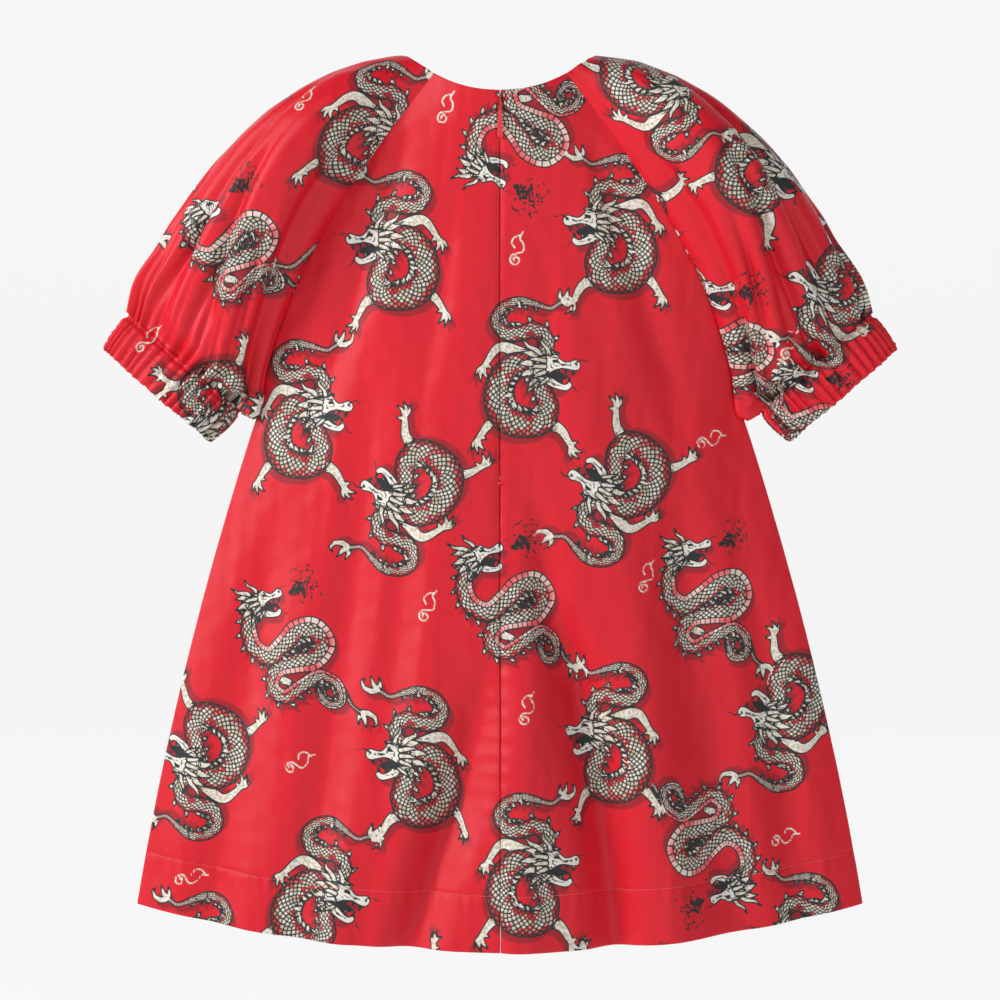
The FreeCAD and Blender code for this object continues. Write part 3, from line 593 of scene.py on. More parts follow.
def withTurns(values, length, start=None, end=None, steps=5):
    # Places along a sheet with its edges rolled under. A turn is (radius, run) in millimetres: half a circle
    # of that radius, then a run back under the face. length is the sheet's own there. Gives each place, how
    # deep it lies under the face, how far past the edge, the edge it belongs to and the cloth's way from it.
    level = values * 0.0
    at, deep, past, hold, way = [np.asarray(values, float)], [level], [level], [values], [level]
    length = np.atleast_1d(length)
    at[0] = np.broadcast_to(at[0], length.shape[:-1] + at[0].shape) if length.ndim > 1 else at[0]
    for turn, edge, sign in ((start, values[0], -1.0), (end, values[-1], 1.0)):
        if turn is None:
            continue
        radius, run = turn
        angle = np.linspace(0, math.pi, steps + 1)[1:]
        inner = np.linspace(0, run, max(int(run / turnSpacing), 1) + 1)[1:]
        back = np.concatenate([angle * 0.0, inner])
        new = [edge - sign * back / length,
               np.concatenate([radius * (1 - np.cos(angle)), inner * 0 + 2 * radius]),
               sign * np.concatenate([radius * np.sin(angle), inner * 0.0]), np.full(len(back), edge),
               sign * np.concatenate([radius * angle, math.pi * radius + inner])]
        for have, more in zip((at, deep, past, hold, way), new):
            if sign < 0:
                have.insert(0, more[..., ::-1])
            else:
                have.append(more)
    return [np.concatenate(part, axis=-1) for part in (at, deep, past, hold, way)]


def laidSheet(surface, across, down, outward):
    # the points of a sheet: the surface at each place, moved under the face and past the edges by its turns
    u = np.broadcast_to(across[0], (len(down[0]), across[0].shape[-1]))
    v = np.broadcast_to(down[0][:, None], u.shape)
    step = 1e-3
    uLow, uHigh, vLow, vHigh = across[3].min(), across[3].max(), down[3].min(), down[3].max()
    along = unit(surface(np.minimum(u + step, uHigh), v) - surface(np.maximum(u - step, uLow), v))
    below = unit(surface(u, np.minimum(v + step, vHigh)) - surface(u, np.maximum(v - step, vLow)))
    normal = outward * unit(np.cross(along, below))
    points = surface(u, v) - normal * (across[1] + down[1][:, None])[..., None]
    return points + along * across[2][:, None] + below * down[2][:, None, None]


def cloth(name, surface, across, down, outward, cut):
    # makes the sheet's mesh with its cut coordinates; faces point out of the dress
    points = laidSheet(surface, across, down, outward)
    if outward > 0:
        points, cut = points[:, ::-1], cut[:, ::-1]
    piece = gridMesh(name, points, cut)
    cut3 = np.concatenate([cut, cut[..., :1] * 0], axis=-1)
    giveVectors(piece, "cut", cut3.reshape(-1, 3))
    return piece, cut


def sewn(piece, nodes, cut):
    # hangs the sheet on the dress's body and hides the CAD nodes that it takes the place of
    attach(piece, "dress")
    if nodes:
        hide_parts(*nodes)


def bodyCut(surface, across, down, mirror):
    # the cut's own coordinates: the way along a row from the centre line, and the height, both carried on
    # round the turned edges
    u = np.broadcast_to(across[3], (len(down[3]), len(across[3])))
    v = np.broadcast_to(down[3][:, None], u.shape)
    points = surface(u, v)
    steps = np.linalg.norm(np.diff(points, axis=1), axis=-1) * np.sign(np.diff(points[..., 0], axis=1))
    way = np.concatenate([np.zeros((len(u), 1)), np.cumsum(steps, axis=1)], axis=1)
    centre = np.argmin(np.abs(points[..., 0]), axis=1)[:, None]
    way = way - np.take_along_axis(way, centre, 1) + np.take_along_axis(points[..., 0], centre, 1)
    side = np.sign(points[:, -1:, 0])
    return np.stack([(way + across[4] * side) * mirror, points[..., 2] - down[4][:, None]], axis=-1)


panel = {
    "proud": 0.5, "centreGap": 0.06, "centreRadius": 0.7, "centreRun": 9.0, "seamRadius": 0.5, "seamRun": 1.6,
    "neckRadius": 0.7, "neckRun": 6.0, "hemRadius": 0.65, "hemRun": 36.0, "groove": 0.9, "grooveWidth": 2.6,
    "rows": 492, "halfColumns": 168, "frontColumns": 186, "frontRows": 470, "stitchHeight": 38.0,
    "stitchSink": 0.45,
}
uneven = {                          # heights, and the wavelengths of the waves, in millimetres
    "soft": 0.42, "softWaves": (26, 60), "fine": 0.16, "fineWaves": (9, 17), "pucker": 0.34,
    "puckerPitch": 13.5,
    "puckerReach": 9.0, "puckerFrom": 60, "puckerGrown": 80, "hemPucker": 0.3, "hemPitch": 8.6, "hemAbove": 4,
    "hemReach": 9, "seamStitch": 1.5,
}


def waves(x, z, seed, low, high, count=9):
    # a smooth random height of about -1 to 1: sines in random directions with wavelengths from low to high
    draw = np.random.default_rng(seed)
    total = np.zeros_like(x)
    for i in range(count):
        angle = draw.uniform(0, math.pi)
        number = 2 * math.pi / draw.uniform(low, high)
        total += np.sin(number * (x * math.cos(angle) + z * math.sin(angle)) + draw.uniform(0, 6.3))
    return total / math.sqrt(count)


def crumple(points, back):
    # small life in the cloth: soft unevenness all over, puckers along the centre seam and the hem's stitches
    x, y, z = points[..., 0], points[..., 1], points[..., 2]
    seed = 21 if back else 22
    height = (uneven["soft"] * waves(x, 0.35 * z, seed, *uneven["softWaves"])
              + uneven["fine"] * waves(x, 0.6 * z, seed + 5, *uneven["fineWaves"]))
    if back:
        pucker = np.sin(z * 2 * math.pi / uneven["puckerPitch"] + 2.2 * np.sin(z / 41))
        pucker = pucker * np.exp(-np.abs(x) / uneven["puckerReach"])
        height = height + uneven["pucker"] * pucker * smooth((-z - uneven["puckerFrom"]) / uneven["puckerGrown"])
        height = height - panel["groove"] * bump(x, panel["grooveWidth"])
    hemDrop = -z - (dress["length"] - panel["stitchHeight"])
    hemDrop = hemDrop - dress["hemRise"] * -(np.abs(x) / dress["hemHalf"]) ** dress["round"]
    height = height - panel["stitchSink"] * bump(hemDrop, uneven["seamStitch"])
    ripple = uneven["hemPucker"] * np.sin(x * 2 * math.pi / uneven["hemPitch"] + 1.7 * np.sin(x / 23))
    height = height + ripple * bump(hemDrop - uneven["hemAbove"], uneven["hemReach"])
    sign = -1.0 if back else 1.0
    return np.stack([x, y + sign * height, z], axis=-1)


def backHalf(side):
    # right half for side 1 and left for -1: a runs from the centre seam at 0 to the sleeve and side seam at 1
    start = panel["centreGap"] + panel["centreRadius"]

    def surface(a, v):
        edgeX = bodyEdge(v, True)[0]
        return crumple(bodySurface(side * mix(start / edgeX, 1, a), v, True, -panel["proud"]), True)
    return surface


def frontWhole(u, v):
    return crumple(bodySurface(u, v, False, -panel["proud"]), False)


motifs = {                          # (kind, x, z, turn in degrees, 1 if mirrored)
    "back": [
        ("coiled", -70, -138, 0), ("coiled", -144, -254, 0, 1), ("coiled", -60, -312, 152, 1),
        ("winding", -150, -412, 0), ("coiled", -60, -494, 0), ("coiled", -140, -584, -16, 1),
        ("coiled", -222, -496, 160, 1), ("coiled", -222, -640, 4), ("coiled", -34, -668, 160),
        ("winding", 18, -60, 170, 1), ("coiled", 84, -126, 0), ("coiled", 16, -226, 0, 1),
        ("coiled", 86, -306, 150, 1), ("winding", 158, -378, -4), ("winding", 10, -380, 0),
        ("coiled", 92, -478, 0), ("coiled", 18, -566, 0, 1), ("winding", 160, -552, 176),
        ("coiled", 228, -462, 164, 1), ("coiled", 84, -668, 170), ("coiled", 234, -626, -10),
        ("cloud", -50, -386, 66), ("cloud", -38, -42, 70), ("cloud", -152, -494, 30),
        ("cloud", -238, -576, 14), ("cloud", 106, -366, 74), ("cloud", 20, -456, 74),
        ("cloud", 222, -548, 16), ("cloud", 12, -140, 78), ("cloud", 150, -270, 20),
    ],
    "front": [
        ("coiled", -64, -158, 0), ("coiled", 66, -200, 0, 1), ("winding", -6, -262, 4),
        ("coiled", -128, -300, 178), ("coiled", 118, -330, 0), ("winding", -60, -402, 0, 1),
        ("coiled", 34, -420, 178), ("winding", 172, -460, 2), ("coiled", -164, -478, 0),
        ("coiled", -40, -540, 0, 1), ("coiled", 84, -552, 0), ("winding", -236, -560, 176),
        ("coiled", 214, -582, 178), ("coiled", -130, -622, 2), ("winding", 20, -650, 178),
        ("cloud", 66, -110, 66), ("cloud", -78, -228, 20), ("cloud", 40, -318, 70),
        ("cloud", -200, -408, 14), ("cloud", 118, -440, 72), ("cloud", -88, -492, 30),
        ("cloud", 150, -610, 14), ("cloud", -8, -600, 70),
    ],
}

rowsAt = np.linspace(0, 1, panel["rows"])
rowLength = dress["length"] - dress["backDrop"]
for side, name in ((1, "right"), (-1, "left")):
    surface = backHalf(side)
    down = withTurns(rowsAt, rowLength, (panel["neckRadius"], panel["neckRun"]),
                     (panel["hemRadius"], panel["hemRun"]))
    width = bodyEdge(down[0], True)[0][:, None]
    across = withTurns(np.linspace(0, 1, panel["halfColumns"]), width,
                       (panel["centreRadius"], panel["centreRun"]),
                       (panel["seamRadius"], panel["seamRun"]))
    cut = bodyCut(surface, across, down, 1.0)
    piece, cut = cloth("backPanel" + name.capitalize(), surface, across, down, -side, cut)
    printOn(piece, cut, motifs["back"])
    sewn(piece, ["back_panel_" + name], cut)
print("back panels made")

down = withTurns(np.linspace(0, 1, panel["frontRows"]), dress["length"] - dress["frontDrop"],
                 (panel["neckRadius"], panel["neckRun"]), (panel["hemRadius"], panel["hemRun"]))
width = bodyEdge(down[0], False)[0][:, None]
across = withTurns(np.linspace(-1, 1, panel["frontColumns"]), width, (panel["seamRadius"], panel["seamRun"]),
                   (panel["seamRadius"], panel["seamRun"]))
cut = bodyCut(frontWhole, across, down, -1.0)
frontPiece, cut = cloth("frontPanel", frontWhole, across, down, 1.0, cut)
printOn(frontPiece, cut, motifs["front"])
sewn(frontPiece, ["front_panel"], cut)
print("front panel made")


# The sleeves: q runs round the cloth from the back seam at 0 over the outer fold at 0.5 to the front seam at
# 1, and w from the neck edge at 0 to the gathering line at 1 and on to the cuff's edge at 2.
def cuffEnd(half, along, side):
    s, c = math.sin(cuff["tilt"]), math.cos(cuff["tilt"])
    return cuff["top"][0] + along * s + side * half * c, cuff["top"][1] - along * c + side * half * s


def sleeveOuter(w):                 # the outer fold: a cubic Bezier from the shoulder, then the cuff's corner
    x0, z0 = dress["neckHalf"], 0.0
    x1, z1 = cuffEnd(cuff["topHalf"], 0.0, 1)
    width, height = x1 - x0, z0 - z1
    (a, b), (c, d) = cuff["outerFirst"], cuff["outerSecond"]
    x, z = bezier([(x0, z0), (x0 + a * width, z0 - b * height), (x1 - c * width, z1 + d * height), (x1, z1)],
                  np.clip(w, 0, 1))
    cx, cz = cuffEnd(mix(cuff["topHalf"], cuff["half"], w - 1), (w - 1) * cuff["length"], 1)
    return np.where(w <= 1, x, cx), np.where(w <= 1, z, cz)


def sleeveInner(w, back):           # along the raglan seam, then under the arm to the cuff's inner corner
    t = np.clip(w / cuff["seamShare"], 0, 1)
    one, two = raglan(t, True), raglan(t, False)
    x0, z0 = np.where(back, one[0], two[0]), np.where(back, one[1], two[1])
    x0 = x0 + dress["sleeveGap"] + cuff["underarmEase"] * t ** cuff["easePower"]
    x1, z1 = cuffEnd(cuff["topHalf"], 0.0, -1)
    s = np.clip((w - cuff["seamShare"]) / (1 - cuff["seamShare"]), 0, 1)
    cx, cz = cuffEnd(mix(cuff["topHalf"], cuff["half"], w - 1), (w - 1) * cuff["length"], -1)
    return np.where(w <= 1, mix(x0, x1, s), cx), np.where(w <= 1, mix(z0, z1, s), cz)


def sleeveShell(q, w):
    # the plain sleeve: y is the seam's depth times a cosine, plus the puff times a sine
    back = q < 0.5
    u = np.where(back, 2 * q, 2 - 2 * q)
    ix, iz = sleeveInner(w, back)
    ox, oz = sleeveOuter(w)
    t = np.clip(w / cuff["seamShare"], 0, 1)
    seam = np.where(w <= 1, np.where(back, seamDepth(t, True), seamDepth(t, False)), cuff["seamHalf"])
    upper = np.clip(w, 0, 1)
    fullness = cuff["depth"] * upper + cuff["puff"] * np.sin(math.pi * upper)
    flatness = 1 - smooth(t)
    across = mix((1 - np.cos(math.pi * u)) / 2, np.sin(math.pi * u / 2), flatness)
    y = seam * np.cos(math.pi * u / 2) + fullness * np.sin(math.pi * u)
    return np.stack([mix(ix, ox, across), np.where(back, -y, y), mix(iz, oz, across)], axis=-1)


gather = {
    "ridges": 40, "foldScale": 1.5, "casing": 3.0, "casingFrom": 0.99, "casingOver": 0.09, "uneven": 0.28,
    "overhang": 3.6, "overhangAt": 0.915, "pinch": 1.9, "bulge": 1.2, "stitchAt": 1.1, "radius": 1.6,
    "run": 25.0,
    "columns": 312, "rows": 250, "casingRows": 34, "girth": 2.4,
    # how high and how far up the sleeve each size of gather reaches, as a share of the sleeve's length
    "sizes": [(1.0, 3.2, 0.10), (1.9, 5.4, 0.20), (4.1, 6.0, 0.38)],
    "folds": [                      # (q at the start, q at the end, w from, w to, width in q, depth)
        (0.40, 0.33, 0.14, 0.98, 0.024, 5.0), (0.30, 0.22, 0.34, 1.0, 0.022, 4.2),
        (0.075, 0.09, 0.10, 0.97, 0.036, 6.5), (0.19, 0.15, 0.48, 1.0, 0.018, 3.4),
        (0.60, 0.66, 0.14, 0.98, 0.026, 5.0), (0.72, 0.78, 0.34, 1.0, 0.022, 4.0),
        (0.925, 0.91, 0.12, 0.97, 0.036, 6.0), (0.46, 0.43, 0.52, 1.0, 0.016, 3.0),
        (0.83, 0.86, 0.5, 1.0, 0.018, 3.2), (0.35, 0.37, 0.60, 1.0, 0.014, 3.0),
        (0.25, 0.27, 0.62, 1.0, 0.013, 2.6), (0.67, 0.63, 0.60, 1.0, 0.014, 2.8),
    ],
}


def ridgeHeight(phase, power=0.75):  # rounded ridges between narrow valleys: |sin(phase / 2)| ^ power
    return np.abs(np.sin(phase / 2)) ** power


def gatherHeight(q, w, seed):
    draw = np.random.default_rng(seed)
    warp = np.zeros_like(q)
    for number in (2, 3, 5, 7, 11, 13):
        warp += draw.uniform(0.25, 0.75) * np.sin(2 * math.pi * number * q + draw.uniform(0, 6.3))
    phase = 2 * math.pi * gather["ridges"] * q + warp
    sway = np.sin(2 * math.pi * 5 * q + draw.uniform(0, 6))
    unequal = 1 + gather["uneven"] * sway * np.sin(2 * math.pi * 8 * q + 1.0)
    above = np.clip(1 - w, 0, 1)
    inCasing = smooth((w - gather["casingFrom"]) / gather["casingOver"])
    ridges = ridgeHeight(phase + 0.5 * (w - 1) * np.sin(2 * math.pi * 9 * q)) - 0.55
    height = inCasing * gather["casing"] * ridges * unequal
    for share, tall, reach in gather["sizes"]:
        part = phase / share + draw.uniform(0, 6) + 0.9 * np.sin(3.1 * w + 2 * math.pi * 3 * q)
        grown = np.exp(-(above / reach) ** 1.6) * (1 - inCasing)
        varied = 0.68 + 0.32 * np.sin(2 * math.pi * 4 * q + draw.uniform(0, 6))
        height += tall * grown * varied * (ridgeHeight(part, 1.0) - 0.6)
    height += gather["overhang"] * bump(w - gather["overhangAt"], 0.06)
    height -= gather["pinch"] * bump(w - gather["stitchAt"], 0.06)
    height += gather["bulge"] * np.sin(math.pi * np.clip((w - gather["stitchAt"]) / 0.9, 0, 1))
    for q0, q1, w0, w1, width, depth in gather["folds"]:
        t = np.clip((w - w0) / (w1 - w0), 0, 1)
        grown = smooth(t / 0.45) * (1 - inCasing)
        wander = 0.008 * np.sin(7 * w + draw.uniform(0, 6))
        bell = bump(q - mix(q0, q1, t) - wander, width * (0.75 + 0.4 * t))
        height -= gather["foldScale"] * depth * grown * bell
    return height


def sleeveSurface(side, seed):
    def surface(q, w):
        # the plain sleeve moved along its normal by the gathers; the seams stay where they are
        step = 2e-3
        pull = 0.03 * (ridgeHeight(2 * math.pi * gather["ridges"] * q) - 0.5) * smooth((w - 1.6) / 0.4)
        place = np.minimum(w + pull, 2.0 + pull)
        along = sleeveShell(np.minimum(q + step, 1), place) - sleeveShell(np.maximum(q - step, 0), place)
        below = sleeveShell(q, place + step) - sleeveShell(q, place - step)
        normal = -unit(np.cross(along, below))
        edge = np.minimum(q, 1 - q)
        height = gatherHeight(q, w, seed) * smooth(edge / 0.012)
        height = height + 0.3 * waves(300 * q, 260 * w, seed + 40, 22, 50) * smooth(edge / 0.04) + 0.5
        points = sleeveShell(q, place) + normal * height[..., None]
        return points * [side, 1, 1]
    return surface


def sleeveCut(across, down, side):
    # flattened about the line down the middle of its back: each row keeps its own length on both sides of it
    q = np.broadcast_to(across[3], (len(down[3]), len(across[3])))
    w = np.broadcast_to(down[3][:, None], q.shape)
    plain = sleeveShell(q, w)
    steps = np.linalg.norm(np.diff(plain, axis=1), axis=-1)
    way = np.concatenate([np.zeros((len(q), 1)), np.cumsum(steps, axis=1)], axis=1)
    middle = np.argmin(np.abs(q[0] - 0.25))
    fullness = 1 + cuff["cutFullness"] * smooth((w - cuff["fullFrom"]) / cuff["fullOver"])
    way = (way - way[:, middle:middle + 1]) * fullness + across[4]
    ix, iz = sleeveInner(down[3], np.full(len(down[3]), True))
    ox, oz = sleeveOuter(down[3])
    outwards = unit(np.stack([ox - ix, oz - iz], axis=-1))
    along = np.stack([outwards[:, 1], -outwards[:, 0]], axis=-1)
    flat = plain[:, middle][:, None, ::2] + outwards[:, None] * way[..., None]
    return (flat + along[:, None] * down[4][:, None, None]) * [side, 1]


motifs["sleeve_left"] = [
    ("winding", -182, -134, 4), ("coiled", -92, -58, -20, 1), ("coiled", -262, -62, 168),
    ("coiled", -190, -258, 200, 1), ("cloud", -252, -196, 52), ("coiled", -322, -170, 0),
    ("winding", -352, -60, 176), ("cloud", -306, -100, 20), ("coiled", -104, -196, 20),
    ("cloud", -136, -34, 70), ("coiled", -286, -262, 150), ("coiled", -190, 34, 0),
    ("winding", -262, 26, 170), ("coiled", -330, 20, -40), ("coiled", -392, -128, 150),
    ("cloud", -352, -110, 40),
]
motifs["sleeve_right"] = [
    ("coiled", 104, -30, -150), ("coiled", 182, -74, -30, 1), ("coiled", 240, -168, 152, 1),
    ("winding", 158, -208, -8), ("winding", 216, -262, -20), ("cloud", 262, -182, 78),
    ("coiled", 322, -90, 0), ("winding", 342, -210, 2), ("cloud", 290, -150, 20),
    ("coiled", 84, -142, 176), ("cloud", 200, -206, 60), ("winding", 200, 40, 20),
    ("coiled", 270, 6, 40, 1), ("coiled", 340, 20, 176), ("coiled", 392, -90, -30, 1),
    ("cloud", 310, -30, 40),
]
sleeveRows = np.concatenate([np.linspace(0, 1, gather["rows"]), np.linspace(1, 2, gather["casingRows"])[1:]])
sleeveSurfaces = {}
for side, name, seed in ((1, "right", 31), (-1, "left", 32)):
    surface = sleeveSurface(side, seed)
    sleeveSurfaces[name] = surface
    down = withTurns(sleeveRows, cuff["length"], (panel["neckRadius"], 1.0),
                     (gather["radius"], gather["run"]))
    inner, outer = np.array(sleeveInner(down[3], True)), np.array(sleeveOuter(down[3]))
    width = gather["girth"] * np.linalg.norm(outer - inner, axis=0)[:, None]
    across = withTurns(np.linspace(0, 1, gather["columns"]), width, (panel["seamRadius"], panel["seamRun"]),
                       (panel["seamRadius"], panel["seamRun"]), steps=3)
    cut = sleeveCut(across, down, side)
    piece, cut = cloth("sleeve" + name.capitalize(), surface, across, down, -side, cut)
    printOn(piece, cut, motifs["sleeve_" + name])
    sewn(piece, ["sleeve_" + name], cut)
print("sleeves made")

# Inside the neck: three facings, each a strip of the body's edge joined to strips of its sleeves' tops.
innerParts = {
    "facingGap": 2.5, "liningGap": 5.2, "facingTop": 0.6, "facingDepth": 32.0, "zipGap": 10.5,
    "hemRise": 30.0,
    "seamKeep": 0.955, "facingRadius": 0.35, "facingRun": 2.0, "overlap": 7.0,
    "backWidth": 0.075, "frontWidth": 0.21, "cutShare": 0.9,    # a facing's cut, in metres
}


def insideBody(back, low, high, gap, uStart, uEnd):
    # the body's surface moved in by the gap; the share v runs between two drops below the neck edge
    top = dress["backDrop"] if back else dress["frontDrop"]
    total = dress["length"] - top

    def surface(a, b):
        v = mix(low, high, b) / total
        edgeX = bodyEdge(v, back)[0]
        start = uStart / edgeX * np.sign(uEnd) if uStart else -uEnd
        points = bodySurface(mix(start, uEnd, a), v, back)
        return points + [0, gap if back else -gap, 0]
    return surface


def joinedSheet(name, sheets):      # one mesh of several grids that are sewn edge to edge
    made = []
    for surface, across, down, outward, cut in sheets:
        made.append(cloth(name, surface, across, down, outward, cut))
    first = made[0][0]
    pieces = [piece for piece, cut in made]
    with bpy.context.temp_override(active_object=first, selected_editable_objects=pieces):
        bpy.ops.object.join()
    return first, [cut for piece, cut in made]


def plainCut(surface, across, down, shift=0.0):
    # a small sheet's cut: its own lengths across and down, measured along its middle row and column
    u, v = np.meshgrid(across[0], down[0])
    points = surface(u, v)
    row = np.linalg.norm(np.diff(points[len(points) // 2], axis=0), axis=-1)
    column = np.linalg.norm(np.diff(points[:, points.shape[1] // 2], axis=0), axis=-1)
    acrossWay, downWay = np.concatenate([[0], np.cumsum(row)]), np.concatenate([[0], np.cumsum(column)])
    x, y = np.meshgrid(acrossWay + shift, -downWay)
    return np.stack([x, y], axis=-1)


def facingTop(side, back, gap):     # the facing's length across the top of a sleeve
    low, high = (0.06, 0.46) if back else (0.54, 0.94)

    def surface(a, b):
        q, w = mix(low, high, a), mix(0.0, 0.13, b)
        step = 2e-3
        along = sleeveShell(q + step, w) - sleeveShell(q - step, w)
        below = sleeveShell(q, w + step) - sleeveShell(q, w)
        points = sleeveShell(q, w) + unit(np.cross(along, below)) * gap
        return points * [side, 1, 1]
    return surface


def evenly(rows, columns):
    return withTurns(np.linspace(0, 1, columns), 100.0), withTurns(np.linspace(0, 1, rows), 100.0)


def makeFacing(name, node, back, side):
    sides = (side,) if back else (1, -1)
    keep = innerParts["seamKeep"]
    uStart, uEnd = (innerParts["zipGap"], side * keep) if back else (0.0, keep)
    body = insideBody(back, innerParts["facingTop"], innerParts["facingDepth"], innerParts["facingGap"],
                      uStart, uEnd)
    across, down = evenly(16, 40 if back else 76)
    down = withTurns(np.linspace(0, 1, 16), innerParts["facingDepth"], None,
                     (innerParts["facingRadius"], innerParts["facingRun"]))
    sheets = [(body, across, down, -side if back else 1.0, plainCut(body, across, down))]
    for each in sides:
        top = facingTop(each, back, innerParts["facingGap"])
        across, down = evenly(16, 26)
        outward = -each
        sheets.append((top, across, down, outward, plainCut(top, across, down, 240.0 + 60 * each)))
    piece, cuts = joinedSheet(name, sheets)
    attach(piece, "dress")
    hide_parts(node)
    return piece


facings = [makeFacing("neckFacingFront", "neck_facing_front", False, 1),
           makeFacing("neckFacingBackLeft", "neck_facing_back_left", True, -1),
           makeFacing("neckFacingBackRight", "neck_facing_back_right", True, 1)]


def makeLining(name, node, back, side):
    keep = innerParts["seamKeep"] - 0.01
    uStart, uEnd = (innerParts["zipGap"], side * keep) if back else (0.0, keep)
    low = innerParts["facingDepth"] - innerParts["overlap"]
    high = dress["length"] - (dress["backDrop"] if back else dress["frontDrop"]) - innerParts["hemRise"]
    body = insideBody(back, low, high, innerParts["liningGap"], uStart, uEnd)

    def surface(a, b):
        points = body(a, b)
        x, y, z = points[..., 0], points[..., 1], points[..., 2]
        sway = 0.8 * waves(x, 0.3 * z, 61 if back else 62, 24, 60) * smooth(b / 0.3)
        return np.stack([x, y + (1 if back else -1) * (0.8 + sway), z], axis=-1)
    across = withTurns(np.linspace(0, 1, 60 if back else 120), 100.0)
    down = withTurns(np.linspace(0, 1, 150), high - low, None, (0.4, 14.0))
    cut = bodyCut(surface, across, down, 1.0)
    piece, cut = cloth(name, surface, across, down, -side if back else 1.0, cut)
    sewn(piece, [node], cut)
    return piece


linings = [makeLining("liningFront", "lining_front", False, 1),
           makeLining("liningBackLeft", "lining_back_left", True, -1),
           makeLining("liningBackRight", "lining_back_right", True, 1)]
print("facings and linings made")


# The elastic of each cuff: a closed band inside the casing, rippled by its woven ribs and the gathers.
elastic = {"width": 20.0, "inset": 2.6, "thickness": 1.2, "ribs": 7, "rib": 0.22, "around": 180, "across": 36}


def makeElastic(name, side):
    # the two faces and two edges of the band are one closed profile, carried round the casing
    turn = np.linspace(0, 2 * math.pi, elastic["across"], endpoint=False)
    place = np.sign(np.cos(turn)) * np.abs(np.cos(turn)) ** 0.35
    depth = np.sign(np.sin(turn)) * np.abs(np.sin(turn)) ** 0.6
    q, way = np.meshgrid(np.linspace(0.02, 0.98, elastic["around"]), place)
    deep = np.broadcast_to(depth[:, None], q.shape)
    w = 1.55 + way * elastic["width"] / (2 * cuff["length"])
    ribbed = elastic["rib"] * np.cos(way * math.pi * elastic["ribs"])
    step = 2e-3
    along = sleeveShell(q + step, w) - sleeveShell(q - step, w)
    below = sleeveShell(q, w + step) - sleeveShell(q, w - step)
    normal = -unit(np.cross(along, below))
    height = deep * (elastic["thickness"] / 2 + ribbed) - elastic["inset"] + 0.25 * np.sin(q * 2 * math.pi * 42)
    points = (sleeveShell(q, w) + normal * height[..., None]) * [side, 1, 1]
    points = np.concatenate([points, points[:1]])
    flat = np.stack(np.broadcast_arrays(q[:1] * 210, np.linspace(0, 44, len(points))[:, None]), axis=-1)
    points, flat = (points[:, ::-1], flat[:, ::-1]) if side > 0 else (points, flat)
    piece = gridMesh("cuffElastic" + name.capitalize(), points, flat)
    giveVectors(piece, "cut", np.concatenate([flat, flat[..., :1] * 0], axis=-1).reshape(-1, 3))
    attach(piece, "dress")
    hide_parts("cuff_elastic_" + name)
    return piece


elastics = [makeElastic("right", 1), makeElastic("left", -1)]


# Sewn lines: each stitch is a short thread that dives into the cloth at both ends.
stitch = {"pitch": 2.5, "length": 1.95, "radius": 0.21, "sides": 6, "rings": 5, "proud": 0.13}


def stitches(path, normals, pitch=None):
    # path and normals are points along the line; every stitch is a bowed capsule between two of its places
    pitch = pitch or stitch["pitch"]
    way = np.concatenate([[0], np.cumsum(np.linalg.norm(np.diff(path, axis=0), axis=1))])
    starts = np.arange(0.8, way[-1] - stitch["length"] - 0.4, pitch)
    t = np.linspace(0, 1, stitch["rings"])
    place = starts[:, None] + t * stitch["length"]
    middle = np.stack([np.interp(place, way, path[:, k]) for k in range(3)], axis=-1)
    up = unit(np.stack([np.interp(place, way, normals[:, k]) for k in range(3)], axis=-1))
    ahead = unit(np.gradient(middle, axis=1))
    aside = unit(np.cross(ahead, up))
    bow = stitch["proud"] + stitch["radius"] * (4 * t * (1 - t) * 1.1 - 0.75)
    thick = stitch["radius"] * (0.35 + 0.65 * np.sqrt(np.clip(4 * t * (1 - t), 0, 1)))
    turn = np.linspace(0, 2 * math.pi, stitch["sides"], endpoint=False)
    ring = (np.cos(turn)[:, None] * aside[..., None, :] + np.sin(turn)[:, None] * up[..., None, :])
    return (middle + up * bow[:, None])[..., None, :] + ring * thick[:, None, None]


def stitchMesh(name, groups, node):
    points = np.concatenate(groups)             # stitches x rings x sides x 3
    count, rings, sides = points.shape[:3]
    index = np.arange(count * rings * sides).reshape(count, rings, sides)
    index = np.concatenate([index, index[..., :1]], axis=2)
    corners = [index[:, :-1, :-1], index[:, :-1, 1:], index[:, 1:, 1:], index[:, 1:, :-1]]
    quads = np.stack(corners, -1).reshape(-1, 4)
    caps = np.concatenate([index[:, 0, :-1][:, ::-1], index[:, -1, :-1]])
    mesh = bpy.data.meshes.new(name)
    mesh.from_pydata((points.reshape(-1, 3) * metre).tolist(), [], quads.tolist() + caps.tolist())
    mesh.shade_smooth()
    piece = bpy.data.objects.new(name, mesh)
    bpy.context.scene.collection.objects.link(piece)
    bm = bmesh.new()
    bm.from_mesh(mesh)
    bmesh.ops.recalc_face_normals(bm, faces=bm.faces)
    bm.to_mesh(mesh)
    bm.free()
    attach(piece, "dress")
    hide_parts(node)
    return piece


def lineOn(surface, u, v, outward):  # points and outward normals along a line on a surface
    step = 1e-3
    along = surface(u + step, v) - surface(u - step, v)
    below = surface(u, v + step) - surface(u, v - step)
    return surface(u, v), outward * unit(np.cross(along, below))


def stitchPlace(u, back):           # v of the hem's stitches, which keep one height above the hem's edge
    top = dress["backDrop"] if back else dress["frontDrop"]
    return 1 - panel["stitchHeight"] / (dress["length"] - top) + u * 0


